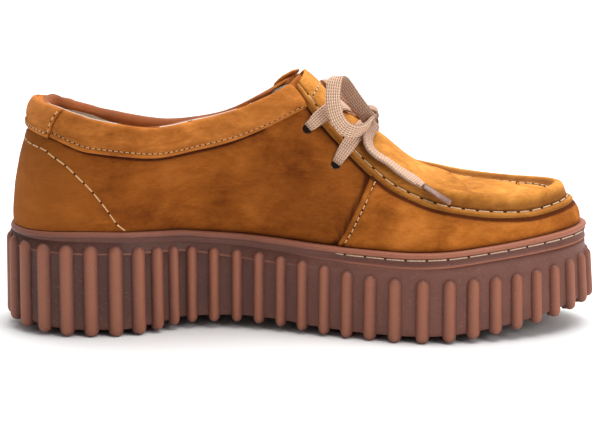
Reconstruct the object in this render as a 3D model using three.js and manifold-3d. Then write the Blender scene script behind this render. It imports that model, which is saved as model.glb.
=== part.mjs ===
// Left lace-up shoe: a moc-toe leather upper on a ribbed platform sole.
// Millimetres. +X points to the toe, -Y to the inner side of the foot, +Z up.
// The origin is on the floor, at the middle of the sole's footprint.
import * as THREE from "three";
import { mergeVertices } from "three/addons/utils/BufferGeometryUtils.js";
import Module from "manifold-3d";

const wasm = await Module();
wasm.setup();

// Sole sizes
const SOLE_LENGTH = 280;
const SOLE_WIDTH = 105;
const SOLE_HEIGHT = 49.5;
const TREAD_DEPTH = 2.8;
const RIB_RELIEF = 3.0;
const RIB_WIDTH = 6.2;
const RIB_PAIRS = 30;
const BAR_WIDTH = 8.0;
const BAR_EVERY = 2;
const TOE_DRIFT = 3;

// Welt and insole sizes
const WELT_WIDTH = 10;
const WELT_BEAD = 2.2;
const INSOLE_THICKNESS = 4.5;
const INSOLE_CLEARANCE = 1.1;

// Upper sizes
const UPPER_HEIGHT = 76;
const WALL_THICKNESS = 2.4;
const HEEL_INSET = 1.0;
const TOE_INSET = 5.4;
const BAND_HEIGHT = 14;
const BAND_THICKNESS = 1.8;
const TAB_THICKNESS = 1.3;
const TAB_REACH = 0.125;
const ROLL_HEIGHT = 10;
const ROLL_THICKNESS = 4.2;
const APRON_THICKNESS = 1.5;
const SEAM_MARGIN = 1.2;
const RIM_HEIGHT = 4.2;
const RIM_WIDTH = 13;

// Lace sizes
const EYELET_RADIUS = 2.3;
const LACE_WIDTH = 6.0;
const LACE_THICKNESS = 1.9;
const LACE_CLEARANCE = 0.7;
const AGLET_LENGTH = 15;
const AGLET_RADIUS = 1.4;
const BAR_STEPS = 6;
const LOOP_STEPS = 22;
const END_STEPS = 8;

const GAP = 0.3;
const WALL_LENGTH = SOLE_LENGTH - 2 * RIB_RELIEF;
const WALL_HALF = SOLE_WIDTH / 2 - RIB_RELIEF;
const INNER = -1;
const OUTER = 1;
const SIDES = [INNER, OUTER];

// The sole along its length. at is the share of the length from the heel, inner and outer are half widths
// as shares of the half width at the ball, and top, line, ribs and lift are heights as shares of the sole's
// height at the heel: the welt's top, its lower line, the tops of the ribs, and the tread above the floor.
const SOLE_ROWS = [
  { at: 0.0, inner: 0.735, outer: 0.735, top: 0.985, line: 0.92, ribs: 0.9, lift: 0.08 },
  { at: 0.06, inner: 0.735, outer: 0.735, top: 0.99, line: 0.91, ribs: 0.89, lift: 0.03 },
  { at: 0.13, inner: 0.735, outer: 0.74, top: 1.0, line: 0.905, ribs: 0.885, lift: 0 },
  { at: 0.2, inner: 0.715, outer: 0.75, top: 0.99, line: 0.89, ribs: 0.87, lift: 0 },
  { at: 0.26, inner: 0.57, outer: 0.75, top: 0.97, line: 0.865, ribs: 0.84, lift: 0.03 },
  { at: 0.31, inner: 0.41, outer: 0.755, top: 0.945, line: 0.84, ribs: 0.815, lift: 0.06 },
  { at: 0.38, inner: 0.4, outer: 0.78, top: 0.915, line: 0.81, ribs: 0.785, lift: 0.065 },
  { at: 0.45, inner: 0.5, outer: 0.84, top: 0.89, line: 0.78, ribs: 0.755, lift: 0.055 },
  { at: 0.53, inner: 0.685, outer: 0.92, top: 0.86, line: 0.735, ribs: 0.7, lift: 0.02 },
  { at: 0.61, inner: 0.84, outer: 0.98, top: 0.843, line: 0.705, ribs: 0.63, lift: 0 },
  { at: 0.68, inner: 0.955, outer: 1.0, top: 0.838, line: 0.695, ribs: 0.612, lift: 0 },
  { at: 0.74, inner: 0.985, outer: 0.97, top: 0.85, line: 0.71, ribs: 0.612, lift: 0.01 },
  { at: 0.82, inner: 0.96, outer: 0.93, top: 0.89, line: 0.755, ribs: 0.625, lift: 0.06 },
  { at: 0.91, inner: 0.94, outer: 0.92, top: 0.945, line: 0.8, ribs: 0.665, lift: 0.145 },
  { at: 1.0, inner: 0.94, outer: 0.92, top: 0.99, line: 0.835, ribs: 0.745, lift: 0.26 },
];

// The upper's crown line. at is the station on the feather line, x the share of half the length, z the height
// above the welt as a share of the upper's height. rise, flare and crown shape the wall between the two:
// its height of pull, its outward pull as a share of the ball half width, and how flat the top is.
const CROWN_ROWS = [
  { at: 0.0, x: -0.7, z: 1.02, rise: 0.42, flare: 0.02, crown: 0.61 },
  { at: 0.15, x: -0.55, z: 1.12, rise: 0.4, flare: 0.03, crown: 0.95 },
  { at: 0.3, x: -0.25, z: 1.2, rise: 0.36, flare: 0.12, crown: 1.12 },
  { at: 0.4, x: 0.033, z: 0.938, rise: 0.4, flare: 0.08, crown: 1.15 },
  { at: 0.434, x: 0.068, z: 0.88, rise: 0.45, flare: 0.04, crown: 1.12 },
  { at: 0.475, x: 0.102, z: 0.807, rise: 0.45, flare: 0.03, crown: 1.03 },
  { at: 0.515, x: 0.16, z: 0.72, rise: 0.45, flare: 0.02, crown: 0.94 },
  { at: 0.58, x: 0.27, z: 0.61, rise: 0.45, flare: 0.015, crown: 0.85 },
  { at: 0.65, x: 0.37, z: 0.475, rise: 0.46, flare: 0.015, crown: 0.8 },
  { at: 0.72, x: 0.46, z: 0.39, rise: 0.48, flare: 0.02, crown: 0.76 },
  { at: 0.82, x: 0.59, z: 0.3, rise: 0.55, flare: 0.025, crown: 0.7 },
  { at: 0.91, x: 0.69, z: 0.245, rise: 0.62, flare: 0.025, crown: 0.63 },
  { at: 1.0, x: 0.75, z: 0.2, rise: 0.75, flare: 0.03, crown: 0.55 },
];

// The collar's edge in side view: heights above the welt as shares of the upper's height.
const COLLAR_ROWS = [
  { at: 0.0, inner: 0.79, outer: 0.79 },
  { at: 0.045, inner: 0.778, outer: 0.775 },
  { at: 0.08, inner: 0.745, outer: 0.715 },
  { at: 0.15, inner: 0.665, outer: 0.61 },
  { at: 0.25, inner: 0.645, outer: 0.58 },
  { at: 0.31, inner: 0.685, outer: 0.615 },
  { at: 0.38, inner: 0.76, outer: 0.69 },
  { at: 0.445, inner: 0.865, outer: 0.82 },
  { at: 0.485, inner: 0.945, outer: 0.93 },
  { at: 0.53, inner: 1.03, outer: 1.02 },
];

// The apron's cut edge in side view: heights above the welt as shares of the upper's height.
const APRON_ROWS = [
  { at: 0.45, height: 1.02 },
  { at: 0.485, height: 0.93 },
  { at: 0.537, height: 0.71 },
  { at: 0.57, height: 0.59 },
  { at: 0.61, height: 0.455 },
  { at: 0.65, height: 0.345 },
  { at: 0.68, height: 0.295 },
  { at: 0.714, height: 0.245 },
  { at: 0.757, height: 0.2 },
  { at: 0.83, height: 0.14 },
  { at: 0.9, height: 0.105 },
  { at: 0.945, height: 0.112 },
  { at: 1.0, height: 0.135 },
];

// How far apart the ribs stand along the sole, as shares of an even pitch.
const PITCH_ROWS = [
  { at: 0.0, pitch: 1.03 },
  { at: 0.19, pitch: 1.05 },
  { at: 0.27, pitch: 0.8 },
  { at: 0.35, pitch: 0.98 },
  { at: 0.6, pitch: 1.03 },
  { at: 0.69, pitch: 1.2 },
  { at: 0.78, pitch: 1.02 },
  { at: 1.0, pitch: 0.92 },
];

// The lace holes: setback is the length from the apron's edge, cross the place on the crown line where the lace crosses.
const EYELETS = [
  { at: 0.458, setback: 7.0, cross: 0.502 },
  { at: 0.529, setback: 7.8, cross: 0.553 },
];

// The near loop of the bow: places along the lace, and the way that its width lies there.
const LOOP_ROWS = [
  { point: [33.4, -10.6, 99.5], across: [1, 0, 0.2] },
  { point: [34.2, -13.2, 100.9], across: [1, -0.2, 0.3] },
  { point: [33.5, -14.2, 103.9], across: [0.85, -0.5, 0.2] },
  { point: [31.4, -14.0, 107.6], across: [0.78, -0.6, 0.1] },
  { point: [28.8, -14.0, 111.3], across: [0.75, -0.65, 0] },
  { point: [25.7, -14.5, 114.9], across: [0.75, -0.65, 0] },
  { point: [22.0, -16.2, 117.7], across: [0.75, -0.6, -0.1] },
  { point: [18.5, -19.2, 118.1], across: [0.8, -0.5, -0.2] },
  { point: [16.1, -22.2, 116.2], across: [0.95, -0.3, -0.1] },
  { point: [15.2, -24.3, 112.8], across: [1, -0.15, 0] },
  { point: [15.2, -25.6, 108.4], across: [1, -0.1, 0.05] },
  { point: [16.1, -26.3, 103.8], across: [1, -0.1, 0.1] },
  { point: [17.9, -26.6, 99.5], across: [0.95, -0.1, 0.25] },
  { point: [20.9, -27.6, 96.1], across: [0.85, -0.1, 0.5] },
  { point: [24.6, -27.0, 94.9], across: [0.75, -0.1, 0.65] },
  { point: [28.4, -23.8, 95.3], across: [0.6, -0.3, 0.75] },
  { point: [31.1, -18.0, 96.5], across: [0.8, -0.2, 0.5] },
  { point: [32.0, -11.0, 97.5], across: [1, 0, 0.2] },
];
const FAR_LOOP = { centre: 24.25, nearCentre: 24.8, stretch: 1.2, spread: 1.25, base: 101.5, nearBase: 93.6, squash: 0.56 };

// The lace ends over the apron: at is the station and up the share of the wall curve, lift the height above the apron.
const NEAR_END_ROWS = [
  { at: 0.566, up: 0.85, lift: 3.2 },
  { at: 0.568, up: 0.76, lift: 2.9 },
  { at: 0.572, up: 0.69, lift: 2.7 },
  { at: 0.582, up: 0.635, lift: 2.6 },
  { at: 0.602, up: 0.598, lift: 2.6 },
  { at: 0.63, up: 0.555, lift: 2.8 },
  { at: 0.658, up: 0.505, lift: 3.3 },
  { at: 0.684, up: 0.458, lift: 4.0 },
  { at: 0.7, up: 0.428, lift: 4.6 },
];
const FAR_END_ROWS = [
  { at: 0.566, up: 1.0, lift: 4.3 },
  { at: 0.569, up: 0.93, lift: 3.9 },
  { at: 0.574, up: 0.86, lift: 3.2 },
  { at: 0.58, up: 0.78, lift: 2.4 },
  { at: 0.588, up: 0.7, lift: 2.0 },
  { at: 0.596, up: 0.62, lift: 2.0 },
  { at: 0.603, up: 0.54, lift: 2.0 },
  { at: 0.608, up: 0.46, lift: 2.0 },
  { at: 0.612, up: 0.38, lift: 1.8 },
  { at: 0.615, up: 0.34, lift: 1.8 },
];
const KNOT = { centre: [32.5, -5, 99.8], length: 8, width: 9.2, height: 6.5 };

// Smooth line through one column of a table: a monotone cubic, flat beyond both ends.
function column(rows, name) {
  const xs = rows.map((row) => row.at);
  const ys = rows.map((row) => row[name]);
  const slopes = xs.slice(1).map((x, i) => (ys[i + 1] - ys[i]) / (x - xs[i]));
  const tangents = xs.map((_, i) => {
    if (i === 0) return slopes[0];
    if (i === xs.length - 1) return slopes[i - 1];
    if (slopes[i - 1] * slopes[i] <= 0) return 0;
    return (2 * slopes[i - 1] * slopes[i]) / (slopes[i - 1] + slopes[i]);
  });
  return (at) => {
    if (at <= xs[0]) return ys[0];
    if (at >= xs[xs.length - 1]) return ys[ys.length - 1];
    const i = xs.findIndex((x) => x > at) - 1;
    const h = xs[i + 1] - xs[i];
    const s = (at - xs[i]) / h;
    const rise = s * s * (3 - 2 * s);
    const start = s * (1 - s) * (1 - s);
    const end = s * s * (s - 1);
    return ys[i] + (ys[i + 1] - ys[i]) * rise + h * (tangents[i] * start + tangents[i + 1] * end);
  };
}

const soleHalf = { [INNER]: column(SOLE_ROWS, "inner"), [OUTER]: column(SOLE_ROWS, "outer") };
const weltTop = column(SOLE_ROWS, "top");
const weltLine = column(SOLE_ROWS, "line");
const ribTop = column(SOLE_ROWS, "ribs");
const treadLift = column(SOLE_ROWS, "lift");
const crownX = column(CROWN_ROWS, "x");
const crownZ = column(CROWN_ROWS, "z");
const wallRise = column(CROWN_ROWS, "rise");
const wallFlare = column(CROWN_ROWS, "flare");
const crownPull = column(CROWN_ROWS, "crown");
const collarHeight = { [INNER]: column(COLLAR_ROWS, "inner"), [OUTER]: column(COLLAR_ROWS, "outer") };
const apronHeight = column(APRON_ROWS, "height");
const ribPitch = column(PITCH_ROWS, "pitch");

const smooth = (a, b, x) => THREE.MathUtils.smoothstep(x, a, b);
const mix = THREE.MathUtils.lerp;

// A station v runs evenly in angle from the heel, 0, to the toe, 1. share is its share of the length.
const share = (v) => (1 - Math.cos(Math.PI * v)) / 2;
const stationAt = (at) => Math.acos(1 - 2 * at) / Math.PI;

// The sole's wall in plan. Past the heel or toe the other side carries on.
const HEEL_END = { reach: 0.135, round: 2.2 };
const TOE_END = { reach: 0.3, round: 1.95 };

function endRound(at) {
  const heel = Math.max(0, 1 - at / HEEL_END.reach) ** HEEL_END.round;
  const toe = Math.max(0, 1 - (1 - at) / TOE_END.reach) ** TOE_END.round;
  return (1 - heel) ** (1 / HEEL_END.round) * (1 - toe) ** (1 / TOE_END.round);
}

function wallPoint(v, side) {
  if (v < 0) return wallPoint(-v, -side);
  if (v > 1) return wallPoint(2 - v, -side);
  const at = share(v);
  const half = soleHalf[side](at) * WALL_HALF * endRound(at);
  const drift = -TOE_DRIFT * smooth(0.5, 1, at);
  return new THREE.Vector2(WALL_LENGTH * (at - 0.5), drift + side * half);
}

function wallNormal(v, side) {
  const step = 1e-3;
  const along = wallPoint(v + step, side).sub(wallPoint(v - step, side)).normalize();
  return new THREE.Vector2(-side * along.y, side * along.x);
}

const offsetWall = (v, side, out) => wallPoint(v, side).addScaledVector(wallNormal(v, side), out);

// Heights along the sole depend on x alone, so that stacked pieces meet on the same curved face.
const shareOfX = (x) => x / WALL_LENGTH + 0.5;
const soleHeight = (line, x) => line(shareOfX(x)) * SOLE_HEIGHT;
const seatHeight = (x) => soleHeight(weltTop, x) + GAP;

// The foot form that the upper is drawn over. t runs from the welt, 0, to the crown line, 1, by length.
const featherInset = (at) => mix(HEEL_INSET, TOE_INSET, smooth(0.1, 0.7, at));
const footPoint = (v, side) => offsetWall(v, side, -featherInset(share(v)));
const halfWidth = (v) => (footPoint(v, OUTER).y - footPoint(v, INNER).y) / 2;
const CURVE_STEPS = 24;
const formCache = new Map();

function formCurve(v, side) {
  const key = `${side} ${v.toFixed(9)}`;
  if (formCache.has(key)) return formCache.get(key);
  const at = share(v);
  const foot = footPoint(v, side);
  const base = new THREE.Vector3(foot.x, foot.y, seatHeight(foot.x));
  const crown = new THREE.Vector3(
    (crownX(at) * WALL_LENGTH) / 2,
    -TOE_DRIFT * smooth(0.5, 1, at),
    weltTop(at) * SOLE_HEIGHT + crownZ(at) * UPPER_HEIGHT,
  );
  const out = wallNormal(v, side);
  const ends = Math.cos(Math.PI * v) ** 6;
  const height = crown.z - base.z;
  const lower = base.clone();
  lower.x += out.x * wallFlare(at) * WALL_HALF;
  lower.y += out.y * wallFlare(at) * WALL_HALF;
  lower.z += wallRise(at) * height;
  const upper = crown.clone();
  upper.x += crownPull(at) * ends * (base.x - crown.x);
  upper.y += side * crownPull(at) * halfWidth(v);
  const bezier = new THREE.CubicBezierCurve3(base, lower, upper, crown);
  bezier.arcLengthDivisions = CURVE_STEPS;
  formCache.set(key, bezier);
  return bezier;
}

function formPoint(v, side, t) {
  if (v < 0) return formPoint(-v, -side, t);
  if (v > 1) return formPoint(2 - v, -side, t);
  if (t > 1) return formPoint(v, -side, 2 - t);
  return formCurve(v, side).getPointAt(Math.max(0, t));
}

const formLength = (v, side) => formCurve(v, side).getLength();

function formNormal(v, side, t) {
  const step = 2e-3;
  const along = formPoint(v + step, side, t).sub(formPoint(v - step, side, t));
  const up = formPoint(v, side, t + step).sub(formPoint(v, side, Math.max(0, t - step)));
  const normal = along.cross(up).multiplyScalar(-side);
  if (t === 0) normal.z = 0;
  return normal.normalize();
}

const raised = (v, side, t, depth) => formPoint(v, side, t).addScaledVector(formNormal(v, side, t), depth);

// The collar's edge on one side, with both sides alike at the back of the heel.
function collarLine(v, side) {
  const own = smooth(0, 0.14, v);
  return (at) => mix((collarHeight[INNER](at) + collarHeight[OUTER](at)) / 2, collarHeight[side](at), own);
}

// The share of a wall curve at which it crosses a line drawn in side view.
function crossing(v, side, lineHeight) {
  let low = 0;
  let high = 1;
  for (let i = 0; i < 30; i++) {
    const t = (low + high) / 2;
    const p = formPoint(v, side, t);
    if (p.z < soleHeight(weltTop, p.x) + lineHeight(shareOfX(p.x)) * UPPER_HEIGHT) low = t;
    else high = t;
  }
  return (low + high) / 2;
}

const collarAt = (v, side) => crossing(v, side, collarLine(v, side));
const apronAt = (v, side) => crossing(v, side, apronHeight);
const bandAt = (v, side) => crossing(v, side, (at) => collarLine(v, side)(at) - BAND_HEIGHT / UPPER_HEIGHT);

// The station at which one line on the inner wall rises past another.
function meeting(line, other) {
  let low = stationAt(0.35);
  let high = stationAt(0.6);
  for (let i = 0; i < 30; i++) {
    const v = (low + high) / 2;
    if (line(v, INNER) < other(v, INNER)) low = v;
    else high = v;
  }
  return (low + high) / 2;
}

// The grid that all leather pieces share: stations along the foot and rows up the wall.
const STATIONS = 32;
const WALL_ROWS = 4;
const CUFF_ROWS = 2;
const RIM_ROWS = [0.26, 0.48, 0.7, 1.0];
const PLUG_ROWS = 2;
const throat = meeting(collarAt, apronAt);
const bandStop = meeting((v, side) => bandAt(v, side) + SEAM_MARGIN / formLength(v, side), apronAt);
const THROAT_INDEX = Math.round(throat * STATIONS);
const stations = Array.from({ length: STATIONS + 1 }, (_, i) => i / STATIONS);
stations[THROAT_INDEX] = throat;
stations[THROAT_INDEX + 1] = bandStop;
const LO = WALL_ROWS;
const HI = WALL_ROWS + CUFF_ROWS;
const CROWN_ROW = HI + RIM_ROWS.length + PLUG_ROWS;

function edgeShares(i, side) {
  const v = stations[i];
  const high = i <= THROAT_INDEX ? collarAt(v, side) : apronAt(v, side);
  const low = Math.min(bandAt(v, side), high - SEAM_MARGIN / formLength(v, side));
  return { low, high };
}

const edges = { [INNER]: [], [OUTER]: [] };
for (const side of SIDES) {
  for (let i = 0; i <= STATIONS; i++) edges[side].push(edgeShares(i, side));
}

function rowShare(i, side, row) {
  const { low, high } = edges[side][i];
  if (row <= LO) return (low * row) / LO;
  if (row <= HI) return mix(low, high, (row - LO) / CUFF_ROWS);
  const rim = Math.min(RIM_WIDTH / formLength(stations[i], side), (1 - high) * 0.6);
  if (row <= HI + RIM_ROWS.length) return high + rim * RIM_ROWS[row - HI - 1];
  return mix(high + rim, 1, (row - HI - RIM_ROWS.length) / PLUG_ROWS);
}

// All cells of the grid in a range of stations and rows, on both sides of the foot. trim is a length by which
// the lowest row moves up the wall, so that a piece clears the one below it.
function cellsOf(fromStation, toStation, fromRow, toRow, trim = 0) {
  const cells = [];
  const node = (i, side, row) => {
    const lift = row === fromRow ? trim / formLength(stations[i], side) : 0;
    return { i, side, row, v: stations[i], t: rowShare(i, side, row) + lift };
  };
  for (const side of SIDES)
    for (let i = fromStation; i < toStation; i++)
      for (let row = fromRow; row < toRow; row++) {
        const cell = [node(i, side, row), node(i + 1, side, row), node(i + 1, side, row + 1), node(i, side, row + 1)];
        cells.push(side === INNER ? cell : cell.reverse());
      }
  return cells;
}

// A closed mesh from corner points and faces, with shared corners merged.
function geometryOf(points, faces) {
  const positions = faces.flat().flatMap((corner) => points[corner].toArray());
  const geometry = new THREE.BufferGeometry();
  geometry.setAttribute("position", new THREE.Float32BufferAttribute(positions, 3));
  return mergeVertices(geometry, 1e-4);
}

// A leather sheet: cells of the grid, from one depth to another along the form's normal, closed at its edges.
function sheet(cells, innerDepth, outerDepth) {
  const points = [];
  const indexOf = new Map();
  const corner = (node) => {
    const base = formPoint(node.v, node.side, node.t);
    const key = base.toArray().map((x) => Math.round(x * 500)).join();
    if (!indexOf.has(key)) {
      indexOf.set(key, points.length);
      const normal = formNormal(node.v, node.side, node.t);
      for (const depth of [outerDepth(node), innerDepth(node)]) {
        const point = base.clone().addScaledVector(normal, depth);
        if (node.t === 0) point.z = seatHeight(point.x);
        points.push(point);
      }
    }
    return indexOf.get(key);
  };
  const faces = [];
  const directed = new Set();
  for (const cell of cells) {
    const ring = cell.map(corner).filter((c, k, all) => c !== all[(k + 1) % all.length]);
    ring.forEach((c, k) => directed.add(`${c} ${ring[(k + 1) % ring.length]}`));
    for (let k = 2; k < ring.length; k++) {
      faces.push([ring[0], ring[k - 1], ring[k]]);
      faces.push([ring[0] + 1, ring[k] + 1, ring[k - 1] + 1]);
    }
  }
  for (const edge of directed) {
    const [a, b] = edge.split(" ").map(Number);
    if (directed.has(`${b} ${a}`)) continue;
    faces.push([b, a, a + 1], [b, a + 1, b + 1]);
  }
  return geometryOf(points, faces);
}

// The faces that close one end of a loft: a strip from side to side across the ring.
function capFaces(size) {
  const faces = [[0, 1, size - 1]];
  let a = 1;
  let b = size - 1;
  while (b - a > 1) {
    faces.push([a, a + 1, b]);
    a += 1;
    if (b - a > 1) faces.push([a, b - 1, b]);
    b -= b - a > 1 ? 1 : 0;
  }
  return faces;
}

// A solid from rings of points, closed across both ends.
function loft(rings) {
  const size = rings[0].length;
  const points = rings.flat();
  const faces = [];
  for (let r = 0; r + 1 < rings.length; r++)
    for (let k = 0; k < size; k++) {
      const a = r * size + k;
      const b = r * size + ((k + 1) % size);
      faces.push([a, b, b + size], [a, b + size, a + size]);
    }
  const last = (rings.length - 1) * size;
  for (const [a, b, c] of capFaces(size)) faces.push([a, c, b], [last + a, last + b, last + c]);
  return geometryOf(points, faces);
}

// A ring-shaped solid: the same section at each place round a closed line.
function ringLoft(sections) {
  const size = sections[0].length;
  const count = sections.length;
  const faces = [];
  for (let r = 0; r < count; r++)
    for (let k = 0; k < size; k++) {
      const a = r * size + k;
      const b = r * size + ((k + 1) % size);
      const c = ((r + 1) % count) * size + ((k + 1) % size);
      const d = ((r + 1) % count) * size + k;
      faces.push([a, b, c], [a, c, d]);
    }
  return geometryOf(sections.flat(), faces);
}

// The booleans work on merged meshes with positions only.
function solidOf(geometry) {
  const plain = geometry.clone();
  plain.deleteAttribute("normal");
  plain.deleteAttribute("uv");
  const merged = mergeVertices(plain, 1e-4);
  return new wasm.Manifold(
    new wasm.Mesh({
      numProp: 3,
      vertProperties: new Float32Array(merged.attributes.position.array),
      triVerts: new Uint32Array(merged.index.array),
    }),
  );
}

function geometryFrom(solid) {
  const { vertProperties, triVerts } = solid.getMesh();
  const geometry = new THREE.BufferGeometry();
  geometry.setAttribute("position", new THREE.BufferAttribute(vertProperties, 3));
  geometry.setIndex(new THREE.BufferAttribute(triVerts, 1));
  return geometry;
}

// Places all round the sole: up the inner side from the heel to the toe, and back down the outer side.
function roundTheSole(perSide) {
  const places = [];
  for (let i = 0; i < perSide; i++) places.push({ v: i / perSide, side: INNER });
  for (let i = perSide; i > 0; i--) places.push({ v: i / perSide, side: OUTER });
  return places;
}

const SOLE_STATIONS = 22;

// Upper: one hollow wall, open at the collar and underneath, with its lace holes punched through.
function eyelet({ at, setback }, side) {
  const v = stationAt(at);
  const t = apronAt(v, side) - setback / formLength(v, side);
  return { v, side, t, point: formPoint(v, side, t), normal: formNormal(v, side, t) };
}

function eyeletPunch({ point, normal }) {
  const punch = new THREE.CylinderGeometry(EYELET_RADIUS, EYELET_RADIUS, 5 * WALL_THICKNESS, 12);
  punch.applyQuaternion(new THREE.Quaternion().setFromUnitVectors(new THREE.Vector3(0, 1, 0), normal));
  punch.translate(point.x, point.y, point.z);
  return solidOf(punch);
}

function upper() {
  const wall = cellsOf(0, STATIONS, 0, HI);
  const top = cellsOf(THROAT_INDEX, STATIONS, HI, CROWN_ROW);
  let solid = solidOf(sheet([...wall, ...top], () => -WALL_THICKNESS, () => 0));
  for (const hole of EYELETS) {
    for (const side of SIDES) solid = solid.subtract(eyeletPunch(eyelet(hole, side)));
  }
  return geometryFrom(solid);
}

// Apron: the moc-toe piece and tongue in one, with a raised rim round the toe that fades at the throat.
function rimRise(node) {
  const along = smooth(0.58, 0.76, share(node.v));
  const profile = { [HI + 1]: 0.12, [HI + 2]: 0.85, [HI + 3]: 1.0, [HI + 4]: 0.1 }[node.row] ?? 0;
  return RIM_HEIGHT * along * profile;
}

function apron() {
  const cells = cellsOf(THROAT_INDEX, STATIONS, HI, CROWN_ROW, 2 * GAP);
  return sheet(cells, () => GAP, (node) => GAP + APRON_THICKNESS + rimRise(node));
}

// Collar band: a padded strip round the top of the quarters, down to the station where the apron's edge cuts it.
function collarBand() {
  const cells = cellsOf(0, THROAT_INDEX + 1, LO, HI);
  return sheet(cells, () => GAP, (node) => GAP + BAND_THICKNESS * (node.row === LO + 1 ? 1.35 : 1));
}

// Heel tab: a piece over the band at the back of the heel.
function heelTab() {
  const cells = cellsOf(0, Math.round(TAB_REACH * STATIONS), LO, HI);
  const under = 2 * GAP + BAND_THICKNESS;
  return sheet(
    cells,
    (node) => under + (node.row === LO + 1 ? 0.35 * BAND_THICKNESS : 0),
    (node) => under + TAB_THICKNESS + (node.row === LO + 1 ? 0.35 * BAND_THICKNESS : 0),
  );
}

// Collar roll: the padded lining roll inside the collar, from one side of the throat round the heel to the other.
const ROLL_SECTION = [
  { down: 0.0, in: 0.0 },
  { down: -0.08, in: 0.35 },
  { down: 0.0, in: 0.72 },
  { down: 0.25, in: 1.0 },
  { down: 0.62, in: 0.92 },
  { down: 0.92, in: 0.5 },
  { down: 1.0, in: 0.0 },
];

const ROLL_END = THROAT_INDEX - 1;
const ROLL_CLEARANCE = 0.5;

function collarRoll() {
  const sections = [];
  const line = [];
  for (let i = ROLL_END; i > 0; i--) line.push({ i, side: INNER });
  for (let i = 0; i <= ROLL_END; i++) line.push({ i, side: OUTER });
  for (const { i, side } of line) {
    const v = stations[i];
    const high = collarAt(v, side);
    const long = formLength(v, side);
    sections.push(
      ROLL_SECTION.map((p) => {
        const t = high - (p.down * ROLL_HEIGHT) / long;
        return raised(v, side, t, -WALL_THICKNESS - ROLL_CLEARANCE - p.in * ROLL_THICKNESS);
      }),
    );
  }
  return loft(sections);
}

// Outsole: a thick wall with ribs all round, cross bars underneath, and a core that fills the welt.
const treadHeight = (x) => soleHeight(treadLift, x);
const wallDraft = (at, up) => -up * mix(0.5, 1.8, smooth(0.6, 1, at));

function soleBlock(out, bottomOf, topOf, levels) {
  const rings = levels.map((level) =>
    roundTheSole(SOLE_STATIONS).map(({ v, side }) => {
      const at = share(v);
      const p = offsetWall(v, side, out + level.out + wallDraft(at, level.up) * level.draft);
      return new THREE.Vector3(p.x, p.y, mix(bottomOf(p.x), topOf(p.x), level.up));
    }),
  );
  return solidOf(loft(rings));
}

function outsoleWall() {
  return soleBlock(
    0,
    (x) => treadHeight(x) + TREAD_DEPTH,
    (x) => soleHeight(weltLine, x),
    [
      { up: 0, out: 0, draft: 1 },
      { up: 1, out: 0, draft: 1 },
    ],
  );
}

function outsoleCore() {
  return soleBlock(
    -WELT_WIDTH - GAP,
    (x) => treadHeight(x) + 2 * TREAD_DEPTH,
    (x) => soleHeight(weltTop, x),
    [
      { up: 0, out: 0, draft: 0 },
      { up: 1, out: 0, draft: 0 },
    ],
  );
}

// Stations of the ribs on one side. The first stands half a pitch from the heel's middle.
function ribStations(side) {
  const steps = 600;
  const reach = [0];
  for (let i = 1; i <= steps; i++) {
    const a = wallPoint((i - 1) / steps, side);
    const b = wallPoint(i / steps, side);
    reach.push(reach[i - 1] + a.distanceTo(b) / ribPitch(share((i - 0.5) / steps)));
  }
  return Array.from({ length: RIB_PAIRS }, (_, k) => {
    const want = (reach[steps] * (k + 0.5)) / RIB_PAIRS;
    const i = reach.findIndex((r) => r >= want);
    return (i - (reach[i] - want) / (reach[i] - reach[i - 1])) / steps;
  });
}

const ribScale = (at) => 1 - 0.24 * smooth(0.22, 0.3, at) + 0.18 * smooth(0.5, 0.66, at) - 0.12 * smooth(0.8, 0.95, at);
const RIB_ROOT = 4;
const RIB_LEVELS = [
  { up: 0, size: 0.45 },
  { up: 0.07, size: 1 },
  { up: 0.92, size: 1 },
  { up: 1, size: 0.4 },
];
const RIB_SECTION = [
  { along: -1, out: 0.1 },
  { along: -0.48, out: 1 },
  { along: 0.48, out: 1 },
  { along: 1, out: 0.1 },
];

function rib(v, side) {
  const at = share(v);
  const foot = wallPoint(v, side);
  const bottom = treadHeight(foot.x);
  const top = soleHeight(ribTop, foot.x);
  const normal = wallNormal(v, side);
  const wide = (RIB_WIDTH / 2) * ribScale(at);
  const rings = RIB_LEVELS.map((level) => {
    const centre = offsetWall(v, side, wallDraft(at, level.up));
    const section = RIB_SECTION.map((p) => ({ along: p.along * wide * level.size, out: p.out * RIB_RELIEF * level.size }));
    section.push({ along: wide * level.size, out: -RIB_ROOT }, { along: -wide * level.size, out: -RIB_ROOT });
    return section.map(
      ({ along, out }) =>
        new THREE.Vector3(
          centre.x + normal.x * out - normal.y * along,
          centre.y + normal.y * out + normal.x * along,
          mix(bottom, top, level.up),
        ),
    );
  });
  return solidOf(loft(rings));
}

// A cross bar of the tread from the rib on one side to its fellow on the other.
function treadBar(inner, outer) {
  const a = offsetWall(inner, INNER, -RIB_ROOT / 2);
  const b = offsetWall(outer, OUTER, -RIB_ROOT / 2);
  const at = (share(inner) + share(outer)) / 2;
  const bottom = treadHeight((a.x + b.x) / 2);
  const length = a.distanceTo(b);
  const bar = new THREE.BoxGeometry(BAR_WIDTH * ribScale(at), length, 2 * TREAD_DEPTH);
  bar.rotateZ(Math.atan2(b.y - a.y, b.x - a.x) - Math.PI / 2);
  bar.translate((a.x + b.x) / 2, (a.y + b.y) / 2, bottom + TREAD_DEPTH);
  return solidOf(bar);
}

function outsole() {
  let solid = outsoleWall().add(outsoleCore());
  const inner = ribStations(INNER);
  const outer = ribStations(OUTER);
  for (let k = 0; k < RIB_PAIRS; k++) {
    solid = solid.add(rib(inner[k], INNER)).add(rib(outer[k], OUTER));
    if (k % BAR_EVERY === 1) solid = solid.add(treadBar(inner[k], outer[k]));
  }
  return geometryFrom(solid);
}

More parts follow.
